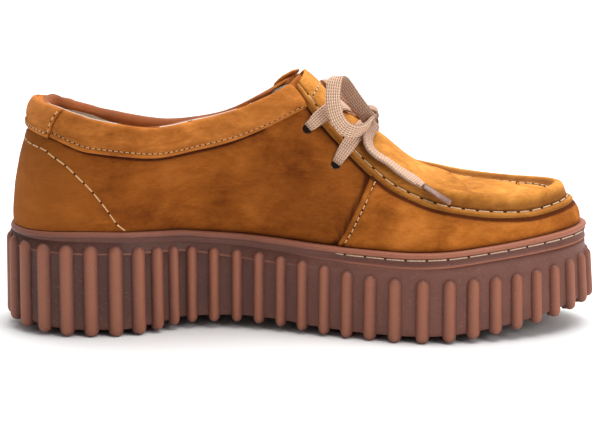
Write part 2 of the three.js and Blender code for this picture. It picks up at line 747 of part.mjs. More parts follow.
// Welt: a moulded strip between sole and upper, with a bead at the top and, in front, a ledge for its stitching.
function weltSection(v, side) {
  const front = smooth(0.45, 0.6, share(v));
  const bead = mix(0.7, -1.4, front);
  const lip = mix(-0.4, 0.3, front);
  const seat = mix(-0.9, -0.6, front);
  const profile = [
    { out: lip - 0.6, up: 0, drop: 0 },
    { out: lip, up: 0.1, drop: 0 },
    { out: lip, up: 0.2, drop: 0 },
    { out: seat, up: mix(0.4, 0.58, front), drop: 0 },
    { out: bead - 0.35, up: 1, drop: WELT_BEAD },
    { out: bead, up: 1, drop: 0.5 * WELT_BEAD },
    { out: bead - 0.9, up: 1, drop: 0 },
    { out: -WELT_WIDTH, up: 1, drop: 0 },
    { out: -WELT_WIDTH, up: 0, drop: 0 },
  ];
  return profile.map(({ out, up, drop }) => {
    const p = offsetWall(v, side, out);
    const line = soleHeight(weltLine, p.x) + GAP;
    return new THREE.Vector3(p.x, p.y, mix(line, soleHeight(weltTop, p.x), up) - drop);
  });
}

const welt = () => ringLoft(roundTheSole(SOLE_STATIONS).map(({ v, side }) => weltSection(v, side)).reverse());

// Insole: a footbed that fills the upper from wall to wall.
function insole() {
  const ring = (up, shrink) =>
    roundTheSole(STATIONS).map(({ v, side }) => {
      const p = raised(v, side, up / formLength(v, side), -WALL_THICKNESS - INSOLE_CLEARANCE - shrink);
      p.z = seatHeight(p.x) + up;
      return p;
    });
  return loft([ring(0, 0), ring(0.8 * INSOLE_THICKNESS, 0), ring(INSOLE_THICKNESS, 0.8)]);
}

// Lace: a flat ribbon along a line of places, each with a point and the way that its width lies.
const RIBBON_SIDES = 8;

function ribbon(places, width, thickness) {
  const rings = places.map(({ point, across }, k) => {
    const before = places[Math.max(0, k - 1)].point;
    const after = places[Math.min(places.length - 1, k + 1)].point;
    const along = after.clone().sub(before).normalize();
    const wide = across.clone().addScaledVector(along, -across.dot(along)).normalize();
    const out = wide.clone().cross(along);
    return Array.from({ length: RIBBON_SIDES }, (_, n) => {
      const turn = (2 * Math.PI * (n + 0.5)) / RIBBON_SIDES;
      const flat = 1 / Math.cos(Math.PI / RIBBON_SIDES);
      return point
        .clone()
        .addScaledVector(wide, (-Math.cos(turn) * flat * width) / 2)
        .addScaledVector(out, (Math.sin(turn) * flat * thickness) / 2);
    });
  });
  return loft(rings);
}

// A lace bar lies on the apron from an eyelet to its fellow across the foot.
function laceBar(hole) {
  const height = GAP + APRON_THICKNESS + LACE_CLEARANCE + LACE_THICKNESS / 2;
  const places = [];
  for (const side of SIDES) {
    const from = eyelet(hole, side);
    const half = Array.from({ length: BAR_STEPS + 1 }, (_, k) => {
      const s = k / BAR_STEPS;
      const v = mix(from.v, stationAt(hole.cross), s);
      return { point: raised(v, side, mix(from.t, 1, s), height), normal: formNormal(v, side, mix(from.t, 1, s)) };
    });
    places.push(...(side === INNER ? half : half.reverse().slice(1)));
  }
  places.forEach((place, k) => {
    const before = places[Math.max(0, k - 1)].point;
    const after = places[Math.min(places.length - 1, k + 1)].point;
    place.across = after.clone().sub(before).cross(place.normal).normalize();
  });
  return ribbon(places, LACE_WIDTH, LACE_THICKNESS);
}

function freeLace(rows, steps) {
  const route = new THREE.CatmullRomCurve3(rows.map((row) => row.point));
  const widths = new THREE.CatmullRomCurve3(rows.map((row) => row.across));
  const places = Array.from({ length: steps + 1 }, (_, k) => ({
    point: route.getPoint(k / steps),
    across: widths.getPoint(k / steps).normalize(),
  }));
  return ribbon(places, LACE_WIDTH, LACE_THICKNESS);
}

const vector = (xyz) => new THREE.Vector3(...xyz);
const nearLoop = LOOP_ROWS.map(({ point, across }) => ({ point: vector(point), across: vector(across) }));

// The far loop is the near one mirrored about the knot, wider and lower.
const farLoop = nearLoop.map(({ point, across }) => ({
  point: new THREE.Vector3(
    FAR_LOOP.centre + (point.x - FAR_LOOP.nearCentre) * FAR_LOOP.stretch,
    2 * KNOT.centre[1] - point.y * FAR_LOOP.spread,
    FAR_LOOP.base + (point.z - FAR_LOOP.nearBase) * FAR_LOOP.squash,
  ),
  across: new THREE.Vector3(across.x, -across.y, across.z),
}));

// A lace end lies over the apron on one side, and its hard tip carries on from it, a gap away.
const END_ROWS = { [INNER]: NEAR_END_ROWS, [OUTER]: FAR_END_ROWS };
const overApron = ({ at, up, lift }, side) => raised(stationAt(at), side, up, GAP + APRON_THICKNESS + lift);

function endPlaces(side) {
  return END_ROWS[side].slice(0, -1).map((row, k) => {
    const next = END_ROWS[side][k + 1];
    const point = overApron(row, side);
    const along = overApron(next, side).sub(point);
    return { point, across: along.cross(formNormal(stationAt(row.at), side, row.up)).normalize() };
  });
}

function laceTip(side) {
  const [from, next] = END_ROWS[side].slice(-2).map((row) => overApron(row, side));
  const along = next.sub(from).normalize();
  const tip = new THREE.CylinderGeometry(AGLET_RADIUS, AGLET_RADIUS, AGLET_LENGTH, 8);
  tip.applyQuaternion(new THREE.Quaternion().setFromUnitVectors(new THREE.Vector3(0, 1, 0), along));
  const centre = from.addScaledVector(along, 2 * GAP + AGLET_LENGTH / 2);
  return tip.translate(centre.x, centre.y, centre.z);
}

function laceKnot() {
  const knot = new THREE.SphereGeometry(0.5, 10, 6);
  knot.scale(KNOT.length, KNOT.width, KNOT.height);
  return knot.translate(...KNOT.centre);
}

const finish = (color, roughness) => new THREE.MeshStandardMaterial({ color, roughness, metalness: 0 });
const LEATHER = finish(0xb9742c, 0.85);
const LINING = finish(0xa0603a, 0.6);
const RUBBER = finish(0x87594a, 0.55);
const FOOTBED = finish(0xcdb89c, 0.9);
const LACE = finish(0xbe9177, 0.8);
const AGLET = finish(0xd8b3a5, 0.25);

function part(name, geometry, material) {
  const mesh = new THREE.Mesh(geometry, material);
  mesh.name = name;
  return mesh;
}

const shoe = new THREE.Group();
shoe.add(
  part("outsole", outsole(), RUBBER),
  part("welt", welt(), RUBBER),
  part("insole", insole(), FOOTBED),
  part("upper", upper(), LEATHER),
  part("apron", apron(), LEATHER),
  part("collar_band", collarBand(), LEATHER),
  part("heel_tab", heelTab(), LEATHER),
  part("collar_roll", collarRoll(), LINING),
  part("lace_bar_upper", laceBar(EYELETS[0]), LACE),
  part("lace_bar_lower", laceBar(EYELETS[1]), LACE),
  part("lace_knot", laceKnot(), LACE),
  part("lace_loop_near", freeLace(nearLoop, LOOP_STEPS), LACE),
  part("lace_loop_far", freeLace(farLoop, LOOP_STEPS), LACE),
  part("lace_end_near", freeLace(endPlaces(INNER), END_STEPS), LACE),
  part("lace_end_far", freeLace(endPlaces(OUTER), END_STEPS), LACE),
  part("lace_tip_near", laceTip(INNER), AGLET),
  part("lace_tip_far", laceTip(OUTER), AGLET),
);

export default shoe;
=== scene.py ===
"""Left lace-up shoe: a moc-toe nubuck upper with a padded collar, on a thick ribbed platform sole."""
import math

import bpy
import numpy as np
from mathutils import Matrix, Vector, noise


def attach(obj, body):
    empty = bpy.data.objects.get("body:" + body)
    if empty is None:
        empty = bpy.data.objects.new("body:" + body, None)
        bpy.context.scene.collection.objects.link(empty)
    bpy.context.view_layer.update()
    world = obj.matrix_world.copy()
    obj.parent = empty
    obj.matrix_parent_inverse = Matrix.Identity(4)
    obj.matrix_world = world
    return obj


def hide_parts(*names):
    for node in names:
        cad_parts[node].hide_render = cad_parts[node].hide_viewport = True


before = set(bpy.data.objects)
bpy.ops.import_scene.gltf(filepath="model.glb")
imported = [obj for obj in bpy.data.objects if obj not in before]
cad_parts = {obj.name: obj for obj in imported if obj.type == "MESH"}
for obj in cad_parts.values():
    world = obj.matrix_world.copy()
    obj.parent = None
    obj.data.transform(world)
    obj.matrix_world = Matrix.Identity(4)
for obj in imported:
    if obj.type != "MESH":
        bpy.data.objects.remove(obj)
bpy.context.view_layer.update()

bl_info = {
    "name": "Moc-toe lace-up shoe",
    "version": (1, 0, 0),
    "blender": (4, 5, 0),
    "location": "View3D > Sidebar > Shoe",
    "description": "Builds a left lace-up shoe, piece by piece, over its last",
    "category": "Add Mesh",
}

# Sizes here are in millimetres, and a mesh is written in metres.
MM = 0.001
INNER = -1
OUTER = 1
GAP = 0.3

# The last and the sole, as the solids have them
WALL_LENGTH = 274.0
WALL_HALF = 49.5
SOLE_HEIGHT = 49.5
UPPER_HEIGHT = 76.0
HEEL_INSET = 1.0
TOE_INSET = 5.4
TOE_DRIFT = 3.0
WALL_THICKNESS = 2.4
BAND_HEIGHT = 14.0
APRON_THICKNESS = 1.5
ON_APRON = GAP + APRON_THICKNESS
RIM_HEIGHT = 4.2
RIM_CENTRE = 60
RIM_RADIUS = 40
PUCKER_PITCH = 7.6
RIB_RELIEF = 3.0
RIB_WIDTH = 6.2
RIB_PAIRS = 30
RIB_FOOT = 3.4
RIB_BACK = 3.0
TREAD_DEPTH = 2.8
BAR_WIDTH = RIB_WIDTH * 0.78
BAR_INSET = 2.2
HEEL_END = (0.135, 2.2)
TOE_END = (0.3, 1.95)


def rows(names, *lines):
    """A table with named columns: each line holds a row's numbers."""
    columns = list(zip(*lines))
    return {name: np.array(column) for name, column in zip(names.split(), columns)}


# The sole along its length: half widths and heights as shares, from the heel to the toe.
SOLE_ROWS = rows(
    "at inner outer top line ribs lift part",
    (0.00, 0.735, 0.735, 0.985, 0.920, 0.900, 0.080, 0.806),
    (0.06, 0.735, 0.735, 0.990, 0.910, 0.890, 0.030, 0.804),
    (0.13, 0.735, 0.740, 1.000, 0.905, 0.885, 0.000, 0.790),
    (0.20, 0.715, 0.750, 0.990, 0.890, 0.870, 0.000, 0.784),
    (0.26, 0.570, 0.750, 0.970, 0.865, 0.840, 0.030, 0.780),
    (0.31, 0.410, 0.755, 0.945, 0.840, 0.815, 0.060, 0.755),
    (0.38, 0.400, 0.780, 0.915, 0.810, 0.785, 0.065, 0.700),
    (0.45, 0.500, 0.840, 0.890, 0.780, 0.755, 0.055, 0.665),
    (0.53, 0.685, 0.920, 0.860, 0.735, 0.700, 0.020, 0.650),
    (0.61, 0.840, 0.980, 0.843, 0.705, 0.630, 0.000, 0.640),
    (0.68, 0.955, 1.000, 0.838, 0.695, 0.612, 0.000, 0.640),
    (0.74, 0.985, 0.970, 0.850, 0.710, 0.612, 0.010, 0.650),
    (0.82, 0.960, 0.930, 0.890, 0.755, 0.625, 0.060, 0.690),
    (0.91, 0.940, 0.920, 0.945, 0.800, 0.665, 0.145, 0.740),
    (1.00, 0.940, 0.920, 0.990, 0.835, 0.745, 0.260, 0.790),
)

# The crown line and the shape of the wall below it
CROWN_ROWS = rows(
    "at x z rise flare crown",
    (0.000, -0.700, 1.020, 0.42, 0.020, 0.61),
    (0.150, -0.550, 1.120, 0.40, 0.030, 0.95),
    (0.300, -0.250, 1.200, 0.36, 0.120, 1.12),
    (0.400, 0.033, 0.938, 0.40, 0.080, 1.15),
    (0.434, 0.068, 0.880, 0.45, 0.040, 1.12),
    (0.475, 0.102, 0.807, 0.45, 0.030, 1.03),
    (0.515, 0.160, 0.720, 0.45, 0.020, 0.94),
    (0.580, 0.270, 0.610, 0.45, 0.015, 0.85),
    (0.650, 0.370, 0.475, 0.46, 0.015, 0.80),
    (0.720, 0.460, 0.390, 0.48, 0.020, 0.76),
    (0.820, 0.590, 0.300, 0.55, 0.025, 0.70),
    (0.910, 0.690, 0.245, 0.62, 0.025, 0.63),
    (1.000, 0.750, 0.200, 0.75, 0.030, 0.55),
)
COLLAR_ROWS = rows(
    "at inner outer",
    (0.000, 0.790, 0.790),
    (0.045, 0.778, 0.775),
    (0.080, 0.745, 0.715),
    (0.150, 0.665, 0.610),
    (0.250, 0.645, 0.580),
    (0.310, 0.685, 0.615),
    (0.380, 0.760, 0.690),
    (0.445, 0.865, 0.820),
    (0.485, 0.945, 0.930),
    (0.530, 1.030, 1.020),
)
APRON_ROWS = rows(
    "at height",
    (0.450, 1.020),
    (0.485, 0.930),
    (0.537, 0.710),
    (0.570, 0.590),
    (0.610, 0.455),
    (0.650, 0.345),
    (0.680, 0.295),
    (0.714, 0.245),
    (0.757, 0.200),
    (0.830, 0.140),
    (0.900, 0.105),
    (0.945, 0.112),
    (1.000, 0.135),
)
PITCH_ROWS = rows(
    "at pitch",
    (0.00, 1.03),
    (0.19, 1.05),
    (0.27, 0.80),
    (0.35, 0.98),
    (0.60, 1.03),
    (0.69, 1.20),
    (0.78, 1.02),
    (1.00, 0.92),
)

# Lines drawn on the inner side view: x and z of chosen points
SIDE_SEAM = ((33.5, 77.0), (31.5, 72.0), (27.3, 62.5), (21.8, 50.5), (17.3, 42.0))
COUNTER_LINE = ((-134, 91.5), (-130, 90), (-120.5, 86.7), (-114, 83.7), (-107, 79.5), (-99.5, 72.6),
                (-95, 67.8), (-89, 60), (-84, 52.6), (-80, 49.5))
TAB_FRONT = ((-114.8, 92.0), (-111.2, 98.0), (-107.2, 104.0))

# The lace. Its holes: place along the sole, length below the apron's edge, and place where the lace crosses
EYELETS = ((0.4515, 7.0, 0.502), (0.5245, 8.6, 0.553))
LACE_LIFT = 1.65
# The near loop: places, and the way its width lies at each
LOOP_ROUTE = (
    ((33.4, -10.6, 98.6), (0.85, 0.0, 0.5)),
    ((32.6, -13.2, 98.2), (0.8, -0.1, 0.58)),
    ((31.0, -14.6, 100.3), (0.78, -0.15, 0.62)),
    ((28.6, -15.0, 103.7), (0.76, -0.15, 0.65)),
    ((25.5, -15.2, 107.9), (0.76, -0.15, 0.65)),
    ((22.4, -15.6, 112.6), (0.78, -0.18, 0.6)),
    ((19.8, -16.8, 116.4), (0.84, -0.3, 0.42)),
    ((17.6, -19.4, 118.8), (0.9, -0.4, 0.12)),
    ((16.0, -22.2, 117.3), (0.97, -0.25, -0.05)),
    ((15.2, -24.3, 112.8), (1, -0.15, 0)),
    ((15.2, -25.6, 108.4), (1, -0.1, 0.05)),
    ((16.1, -26.3, 103.8), (1, -0.1, 0.12)),
    ((17.9, -26.8, 99.5), (0.93, -0.1, 0.3)),
    ((20.9, -27.4, 96.3), (0.8, -0.1, 0.55)),
    ((24.6, -26.8, 94.9), (0.62, -0.12, 0.76)),
    ((28.6, -23.4, 95.0), (0.35, -0.25, 0.9)),
    ((31.8, -18.0, 96.8), (0.3, -0.4, 0.86)),
    ((32.6, -11.0, 98.6), (0.8, -0.2, 0.5)),
)
FAR_LOOP = {"centre": 21.8, "near_centre": 24.8, "stretch": 1.02, "spread": 1.25,
            "base": 99.6, "near_base": 93.6, "squash": 0.52, "lean": 0.16, "lean_from": 13}
# The lace's ends: place along the sole, share up the last, and lift over the apron
END_ROUTES = {
    INNER: (
        (0.560, 0.900, 4.4),
        (0.556, 0.800, 3.8),
        (0.557, 0.730, 3.3),
        (0.566, 0.665, 3.1),
        (0.5825, 0.630, 2.8),
        (0.605, 0.610, 2.7),
        (0.6275, 0.580, 2.6),
        (0.650, 0.550, 2.8),
        (0.6725, 0.510, 3.3),
        (0.688, 0.475, 3.9),
        (0.740, 0.350, 5.0),
    ),
    OUTER: (
        (0.553, 1.000, 4.6),
        (0.556, 0.930, 4.2),
        (0.561, 0.860, 3.4),
        (0.567, 0.780, 2.6),
        (0.575, 0.700, 2.1),
        (0.583, 0.620, 2.0),
        (0.590, 0.540, 2.0),
        (0.595, 0.460, 2.0),
        (0.599, 0.380, 1.8),
        (0.602, 0.340, 1.8),
    ),
}
KNOT = (32.5, -5.0, 99.8)
KNOT_RADII = (3.3, 1.1, 2.6)
KNOT_CORE = (6.4, 8.6, 4.6)
TIP_LENGTH = 15.0
TIP_RADIUS = 1.4


def smooth(low, high, x):
    """Smooth step from 0 at low to 1 at high."""
    s = np.clip((np.asarray(x, float) - low) / (high - low), 0, 1)
    return s * s * (3 - 2 * s)


def mix(a, b, share):
    return a + (b - a) * share


def unit(vector):
    return vector / np.linalg.norm(vector)


def travelled(points):
    """The length along a line at each of its points."""
    return np.concatenate([[0], np.cumsum(np.linalg.norm(np.diff(points, axis=0), axis=1))])


def bell(x, centre, width):
    """A soft hump of height 1."""
    return np.exp(-(((np.asarray(x, float) - centre) / width) ** 2))


def column(table, name):
    """Smooth line through one column of a table: a monotone cubic, flat beyond both ends."""
    xs = table["at"]
    ys = table[name]
    slopes = np.diff(ys) / np.diff(xs)
    tangents = np.empty(len(xs))
    tangents[0] = slopes[0]
    tangents[-1] = slopes[-1]
    for i in range(1, len(xs) - 1):
        both = slopes[i - 1] * slopes[i]
        tangents[i] = 0 if both <= 0 else 2 * both / (slopes[i - 1] + slopes[i])

    def line(at):
        at = np.clip(at, xs[0], xs[-1])
        i = np.clip(np.searchsorted(xs, at, side="right") - 1, 0, len(xs) - 2)
        h = xs[i + 1] - xs[i]
        s = (at - xs[i]) / h
        rise = s * s * (3 - 2 * s)
        start = s * (1 - s) ** 2
        end = s * s * (s - 1)
        return ys[i] + (ys[i + 1] - ys[i]) * rise + h * (tangents[i] * start + tangents[i + 1] * end)

    return line


sole_half = {INNER: column(SOLE_ROWS, "inner"), OUTER: column(SOLE_ROWS, "outer")}
welt_top = column(SOLE_ROWS, "top")
welt_line = column(SOLE_ROWS, "line")
rib_top = column(SOLE_ROWS, "ribs")
tread_lift = column(SOLE_ROWS, "lift")
part_line = column(SOLE_ROWS, "part")
crown = {name: column(CROWN_ROWS, name) for name in ("x", "z", "rise", "flare", "crown")}
collar_height = {INNER: column(COLLAR_ROWS, "inner"), OUTER: column(COLLAR_ROWS, "outer")}
apron_height = column(APRON_ROWS, "height")
rib_pitch = column(PITCH_ROWS, "pitch")


def share(v):
    return (1 - math.cos(math.pi * v)) / 2


def station_at(at):
    return math.acos(1 - 2 * at) / math.pi


def share_of_x(x):
    return x / WALL_LENGTH + 0.5


def sole_z(line, x):
    """A height of the sole at a place along it."""
    return line(share_of_x(x)) * SOLE_HEIGHT


def seat_z(x):
    return sole_z(welt_top, x) + GAP


def folded(v, side):
    """Past the heel or toe a station carries on along the other side."""
    if v < 0:
        return -v, -side
    if v > 1:
        return 2 - v, -side
    return v, side


def wall_point(v, side):
    """The sole's wall in plan."""
    v, side = folded(v, side)
    at = share(v)
    heel = max(0.0, 1 - at / HEEL_END[0]) ** HEEL_END[1]
    toe = max(0.0, 1 - (1 - at) / TOE_END[0]) ** TOE_END[1]
    ends = (1 - heel) ** (1 / HEEL_END[1]) * (1 - toe) ** (1 / TOE_END[1])
    drift = -TOE_DRIFT * smooth(0.5, 1, at)
    return np.array([WALL_LENGTH * (at - 0.5), drift + side * sole_half[side](at) * WALL_HALF * ends])


def wall_normal(v, side):
    along = unit(wall_point(v + 1e-3, side) - wall_point(v - 1e-3, side))
    return np.array([-side * along[1], side * along[0]])


def off_wall(v, side, out):
    return wall_point(v, side) + wall_normal(v, side) * out


class Last:
    """The foot form that the leather is drawn over, charted by station v and share t of the wall's length."""

    STATIONS = 320
    SHARES = 96

    def __init__(self):
        stations = np.linspace(0, 1, self.STATIONS + 1)
        self.points = {}
        self.lengths = {}
        for side in (INNER, OUTER):
            curves = [self.curve(v, side) for v in stations]
            self.points[side] = np.array([points for points, _ in curves])
            self.lengths[side] = np.array([length for _, length in curves])
        self.normals = {side: self.normal_chart(side) for side in (INNER, OUTER)}

    def curve(self, v, side):
        """One wall curve from the welt to the crown line, evenly by length."""
        at = share(v)
        inset = mix(HEEL_INSET, TOE_INSET, smooth(0.1, 0.7, at))
        foot = {s: off_wall(v, s, -inset) for s in (INNER, OUTER)}
        out = wall_normal(v, side)
        base = np.array([*foot[side], seat_z(foot[side][0])])
        top = np.array([
            crown["x"](at) * WALL_LENGTH / 2,
            -TOE_DRIFT * smooth(0.5, 1, at),
            welt_top(at) * SOLE_HEIGHT + crown["z"](at) * UPPER_HEIGHT,
        ])
        half = (foot[OUTER][1] - foot[INNER][1]) / 2
        ends = math.cos(math.pi * v) ** 6
        lower = base + np.array([
            out[0] * crown["flare"](at) * WALL_HALF,
            out[1] * crown["flare"](at) * WALL_HALF,
            crown["rise"](at) * (top[2] - base[2]),
        ])
        over = crown["crown"](at)
        upper = top + np.array([over * ends * (base[0] - top[0]), side * over * half, 0])
        s = np.linspace(0, 1, 4 * self.SHARES + 1)[:, None]
        line = (1 - s) ** 3 * base + 3 * (1 - s) ** 2 * s * lower + 3 * (1 - s) * s**2 * upper + s**3 * top
        reach = travelled(line)
        even = np.linspace(0, reach[-1], self.SHARES + 1)
        return np.stack([np.interp(even, reach, line[:, k]) for k in range(3)], axis=1), reach[-1]

    def normal_chart(self, side):
        """The way that the wall faces at each point of the chart."""
        own = self.points[side]
        other = self.points[-side]
        wide = np.concatenate([other[1:2], own, other[-2:-1]])
        along = wide[2:] - wide[:-2]
        tall = np.concatenate([own[:, :1], own, other[:, -2:-1]], axis=1)
        up = tall[:, 2:] - tall[:, :-2]
        normal = -side * np.cross(along, up)
        normal[:, 0, 2] = 0
        return normal / np.maximum(np.linalg.norm(normal, axis=2, keepdims=True), 1e-9)

    def sampled(self, chart, v, side, t):
        """A chart's value between its points."""
        v, side = folded(v, side)
        if t > 1:
            side, t = -side, 2 - t
        a = v * self.STATIONS
        b = max(t, 0) * self.SHARES
        i = min(int(a), self.STATIONS - 1)
        j = min(int(b), self.SHARES - 1)
        a -= i
        b -= j
        grid = chart[side]
        low = grid[i, j] * (1 - b) + grid[i, j + 1] * b
        high = grid[i + 1, j] * (1 - b) + grid[i + 1, j + 1] * b
        return low * (1 - a) + high * a

    def point(self, v, side, t):
        return self.sampled(self.points, v, side, t)

    def normal(self, v, side, t):
        clear_of_pole = 0.999 if abs(v - 1) < 0.001 else v
        return unit(self.sampled(self.normals, clear_of_pole, side, t))

    def length(self, v, side):
        v = min(abs(v), 2 - abs(v))
        return float(np.interp(v * self.STATIONS, np.arange(self.STATIONS + 1), self.lengths[side]))

    def raised(self, v, side, t, depth):
        point = self.point(v, side, t) + self.normal(v, side, t) * depth
        if t <= 0:
            point[2] = seat_z(point[0])
        return point

    def spot(self, v, side, t, depth):
        """The point and the normal at a depth."""
        return self.raised(v, side, t, depth), self.normal(v, side, t)

    def crossings(self, heights):
        """Charts the shares at which the wall curves cross a line of heights above the welt."""
        chart = {}
        for side in (INNER, OUTER):
            chart[side] = []
            for i, curve in enumerate(self.points[side]):
                height = heights(i / self.STATIONS, side)
                line = sole_z(welt_top, curve[:, 0]) + height(share_of_x(curve[:, 0])) * UPPER_HEIGHT
                over = curve[:, 2] - line
                j = int(np.argmax(over >= 0)) if (over >= 0).any() else self.SHARES
                part = over[j - 1] / (over[j - 1] - over[j]) if j and over[j] >= 0 else float(j > 0)
                chart[side].append(max(0, j - 1 + part) / self.SHARES)
        return chart

    def on_chart(self, chart, v, side):
        v, side = folded(v, side)
        return float(np.interp(v * self.STATIONS, np.arange(self.STATIONS + 1), chart[side]))

    def locate(self, x, z, side):
        """The station and share where the wall passes a place of the side view."""
        chart = self.points[side]
        above = chart[:, :, 2] >= z
        j = np.maximum(above.argmax(axis=1), 1)
        i = np.arange(len(chart))
        z0, z1 = chart[i, j - 1, 2], chart[i, j, 2]
        part = np.clip((z - z0) / np.maximum(z1 - z0, 1e-6), 0, 1)
        xs = mix(chart[i, j - 1, 0], chart[i, j, 0], part)
        ts = (j - 1 + part) / self.SHARES
        fits = above.any(axis=1)
        v = float(np.interp(x, xs[fits], i[fits])) / self.STATIONS
        return v, float(np.interp(v * self.STATIONS, i[fits], ts[fits]))


LAST = Last()


def collar_line(v, side):
    """The collar's edge on one side, with both sides alike at the back of the heel."""
    own = (1 + smooth(0, 0.14, v)) / 2
    return lambda at: mix(collar_height[-side](at), collar_height[side](at), own)


def band_line(v, side):
    line = collar_line(v, side)
    return lambda at: line(at) - BAND_HEIGHT / UPPER_HEIGHT


COLLAR = LAST.crossings(collar_line)
BAND = LAST.crossings(band_line)
APRON = LAST.crossings(lambda v, side: apron_height)


def collar_at(v, side):
    return LAST.on_chart(COLLAR, v, side)


def band_at(v, side):
    return LAST.on_chart(BAND, v, side)


def apron_at(v, side):
    return LAST.on_chart(APRON, v, side)


def meeting(line, other):
    """The station at which one line on the inner wall rises past another."""
    low, high = station_at(0.35), station_at(0.6)
    for _ in range(24):
        v = (low + high) / 2
        if line(v, INNER) < other(v, INNER):
            low = v
        else:
            high = v
    return (low + high) / 2


THROAT = meeting(collar_at, apron_at)
BAND_STOP = meeting(lambda v, side: band_at(v, side) + 1.2 / LAST.length(v, side), apron_at)


# Stations, and how far the padded edge dips there on the inner side, and rises on the outer side
INNER_DROP = ((0, 0.08, 0.14, 0.2, 0.25, 0.3, 0.35, 0.4, 0.424),
              (1.1, 1.1, 0.4, -0.8, 0.0, 0.6, 0.7, 0.5, 0.2))
OUTER_RISE = ((0, 0.05, 0.1, 0.15, 0.2, 0.25, 0.3, 0.35, 0.39, 0.424),
              (-0.1, 0.1, 0.7, 1.8, 2.3, 1.4, 0.1, -0.6, -0.3, 0))


def collar_drop(v, side):
    """How far the padded edge stands below the collar's line. On the far side the roll hides it."""
    if side == INNER:
        return float(np.interp(v, *INNER_DROP))
    hidden = 2.05 - float(np.interp(v, *OUTER_RISE))
    return mix(mix(1.1, hidden, smooth(0.0, 0.06, v)), 0.2, smooth(0.385, 0.42, v))


def edge_of(v, side):
    """The share at which the quarters end: the collar, or the apron's cut edge in front of the throat."""
    return collar_at(v, side) if v <= THROAT else apron_at(v, side)


# Meshes


def only(obj):
    """Selects one object and makes it active."""
    bpy.ops.object.select_all(action="DESELECT")
    obj.select_set(True)
    bpy.context.view_layer.objects.active = obj


def new_object(name, points, faces, finish, shades=None, uvs=None):
    """A mesh object from points in millimetres, with a shade and, for a ribbon, a UV for each point."""
    mesh = bpy.data.meshes.new(name)
    mesh.from_pydata((np.asarray(points, float) * MM).tolist(), [], faces)
    obj = bpy.data.objects.new(name, mesh)
    bpy.context.scene.collection.objects.link(obj)
    mesh.materials.append(finish)
    if shades is not None:
        mesh.attributes.new("shade", "FLOAT", "POINT").data.foreach_set("value", np.asarray(shades, float))
    if uvs is not None:
        layer = mesh.uv_layers.new(name="lace")
        for loop in mesh.loops:
            layer.data[loop.index].uv = uvs[loop.vertex_index]
    mesh.polygons.foreach_set("use_smooth", [True] * len(mesh.polygons))
    mesh.update()
    return obj


def fresh(add, **settings):
    """A plain Blender mesh to work on, alone selected."""
    bpy.ops.object.select_all(action="DESELECT")
    add(**settings)
    return bpy.context.object


def edited(obj, tool, **settings):
    """Runs an edit-mode tool on a whole mesh."""
    only(obj)
    bpy.ops.object.mode_set(mode="EDIT")
    bpy.ops.mesh.select_all(action="SELECT")
    tool(**settings)
    bpy.ops.object.mode_set(mode="OBJECT")
    return obj


def merged(obj, distance=0.03):
    """Joins the points that meet, so that seams and poles are closed."""
    return edited(obj, bpy.ops.mesh.remove_doubles, threshold=distance * MM)


def outward(obj):
    return edited(obj, bpy.ops.mesh.normals_make_consistent, inside=False)


def joined(first, *others):
    """Makes one object of several."""
    only(first)
    for obj in others:
        obj.select_set(True)
    bpy.ops.object.join()
    return first


def stood(obj, place, direction):
    """Turns a mesh's Z axis to a direction and moves it to a place."""
    turn = Vector((0, 0, 1)).rotation_difference(Vector(direction)).to_matrix().to_4x4()
    obj.data.transform(Matrix.Translation(Vector(place * MM)) @ turn)


def modified(obj, kind, **settings):
    """Adds a modifier and applies it."""
    only(obj)
    modifier = obj.modifiers.new(kind.lower(), kind)
    for key, value in settings.items():
        setattr(modifier, key, value)
    bpy.ops.object.modifier_apply(modifier=modifier.name)
    return obj


def thickened(obj, thickness, **settings):
    """Gives a sheet its thickness, inwards."""
    return modified(obj, "SOLIDIFY", thickness=thickness * MM, offset=-1, **settings)


def strip_faces(columns, count, flip=False, closed=False):
    """Quads between neighbouring columns of points."""
    faces = []
    for i in range(columns if closed else columns - 1):
        a = i * count
        b = ((i + 1) % columns) * count
        for k in range(count - 1):
            face = (a + k, a + k + 1, b + k + 1, b + k)
            faces.append(face[::-1] if flip else face)
    return faces


def ring_faces(rings, count, closed=False):
    """Quads round a tube of rings, whose ends are closed by a face each unless it meets itself."""
    faces = []
    for i in range(rings if closed else rings - 1):
        a = i * count
        b = ((i + 1) % rings) * count
        faces += [(a + k, a + (k + 1) % count, b + (k + 1) % count, b + k) for k in range(count)]
    if not closed:
        last = (rings - 1) * count
        faces += [tuple(range(count))[::-1], tuple(last + k for k in range(count))]
    return faces


def round_places(stations):
    """Places from the inner side's front round the heel to the outer side's front."""
    back = [(v, INNER) for v in stations[::-1]]
    return back + [(v, OUTER) for v in stations[1:]]


def over_toe(start, count):
    """Places from a station of the inner side round the toe to the same one of the outer side."""
    stations = np.linspace(start, 1, count)
    return [(v, INNER) for v in stations] + [(v, OUTER) for v in stations[-2::-1]]


def over_last(name, columns, faces, finish):
    """A mesh from columns of (station, side, share, depth, shade)."""
    spots = [spot for column in columns for spot in column]
    points = [LAST.raised(*spot[:4]) for spot in spots]
    return new_object(name, points, faces, finish, [spot[4] for spot in spots])


def draped(name, places, profile, finish, thickness, inside=None):
    """A leather sheet over the last. profile gives rows of share, depth and shade at a place."""
    columns = [[(v, side, *row) for row in profile(v, side)] for v, side in places]
    obj = merged(over_last(name, columns, strip_faces(len(columns), len(columns[0])), finish))
    if inside is not None:
        obj.data.materials.append(inside)
    return thickened(obj, thickness, material_offset=0 if inside is None else 1)


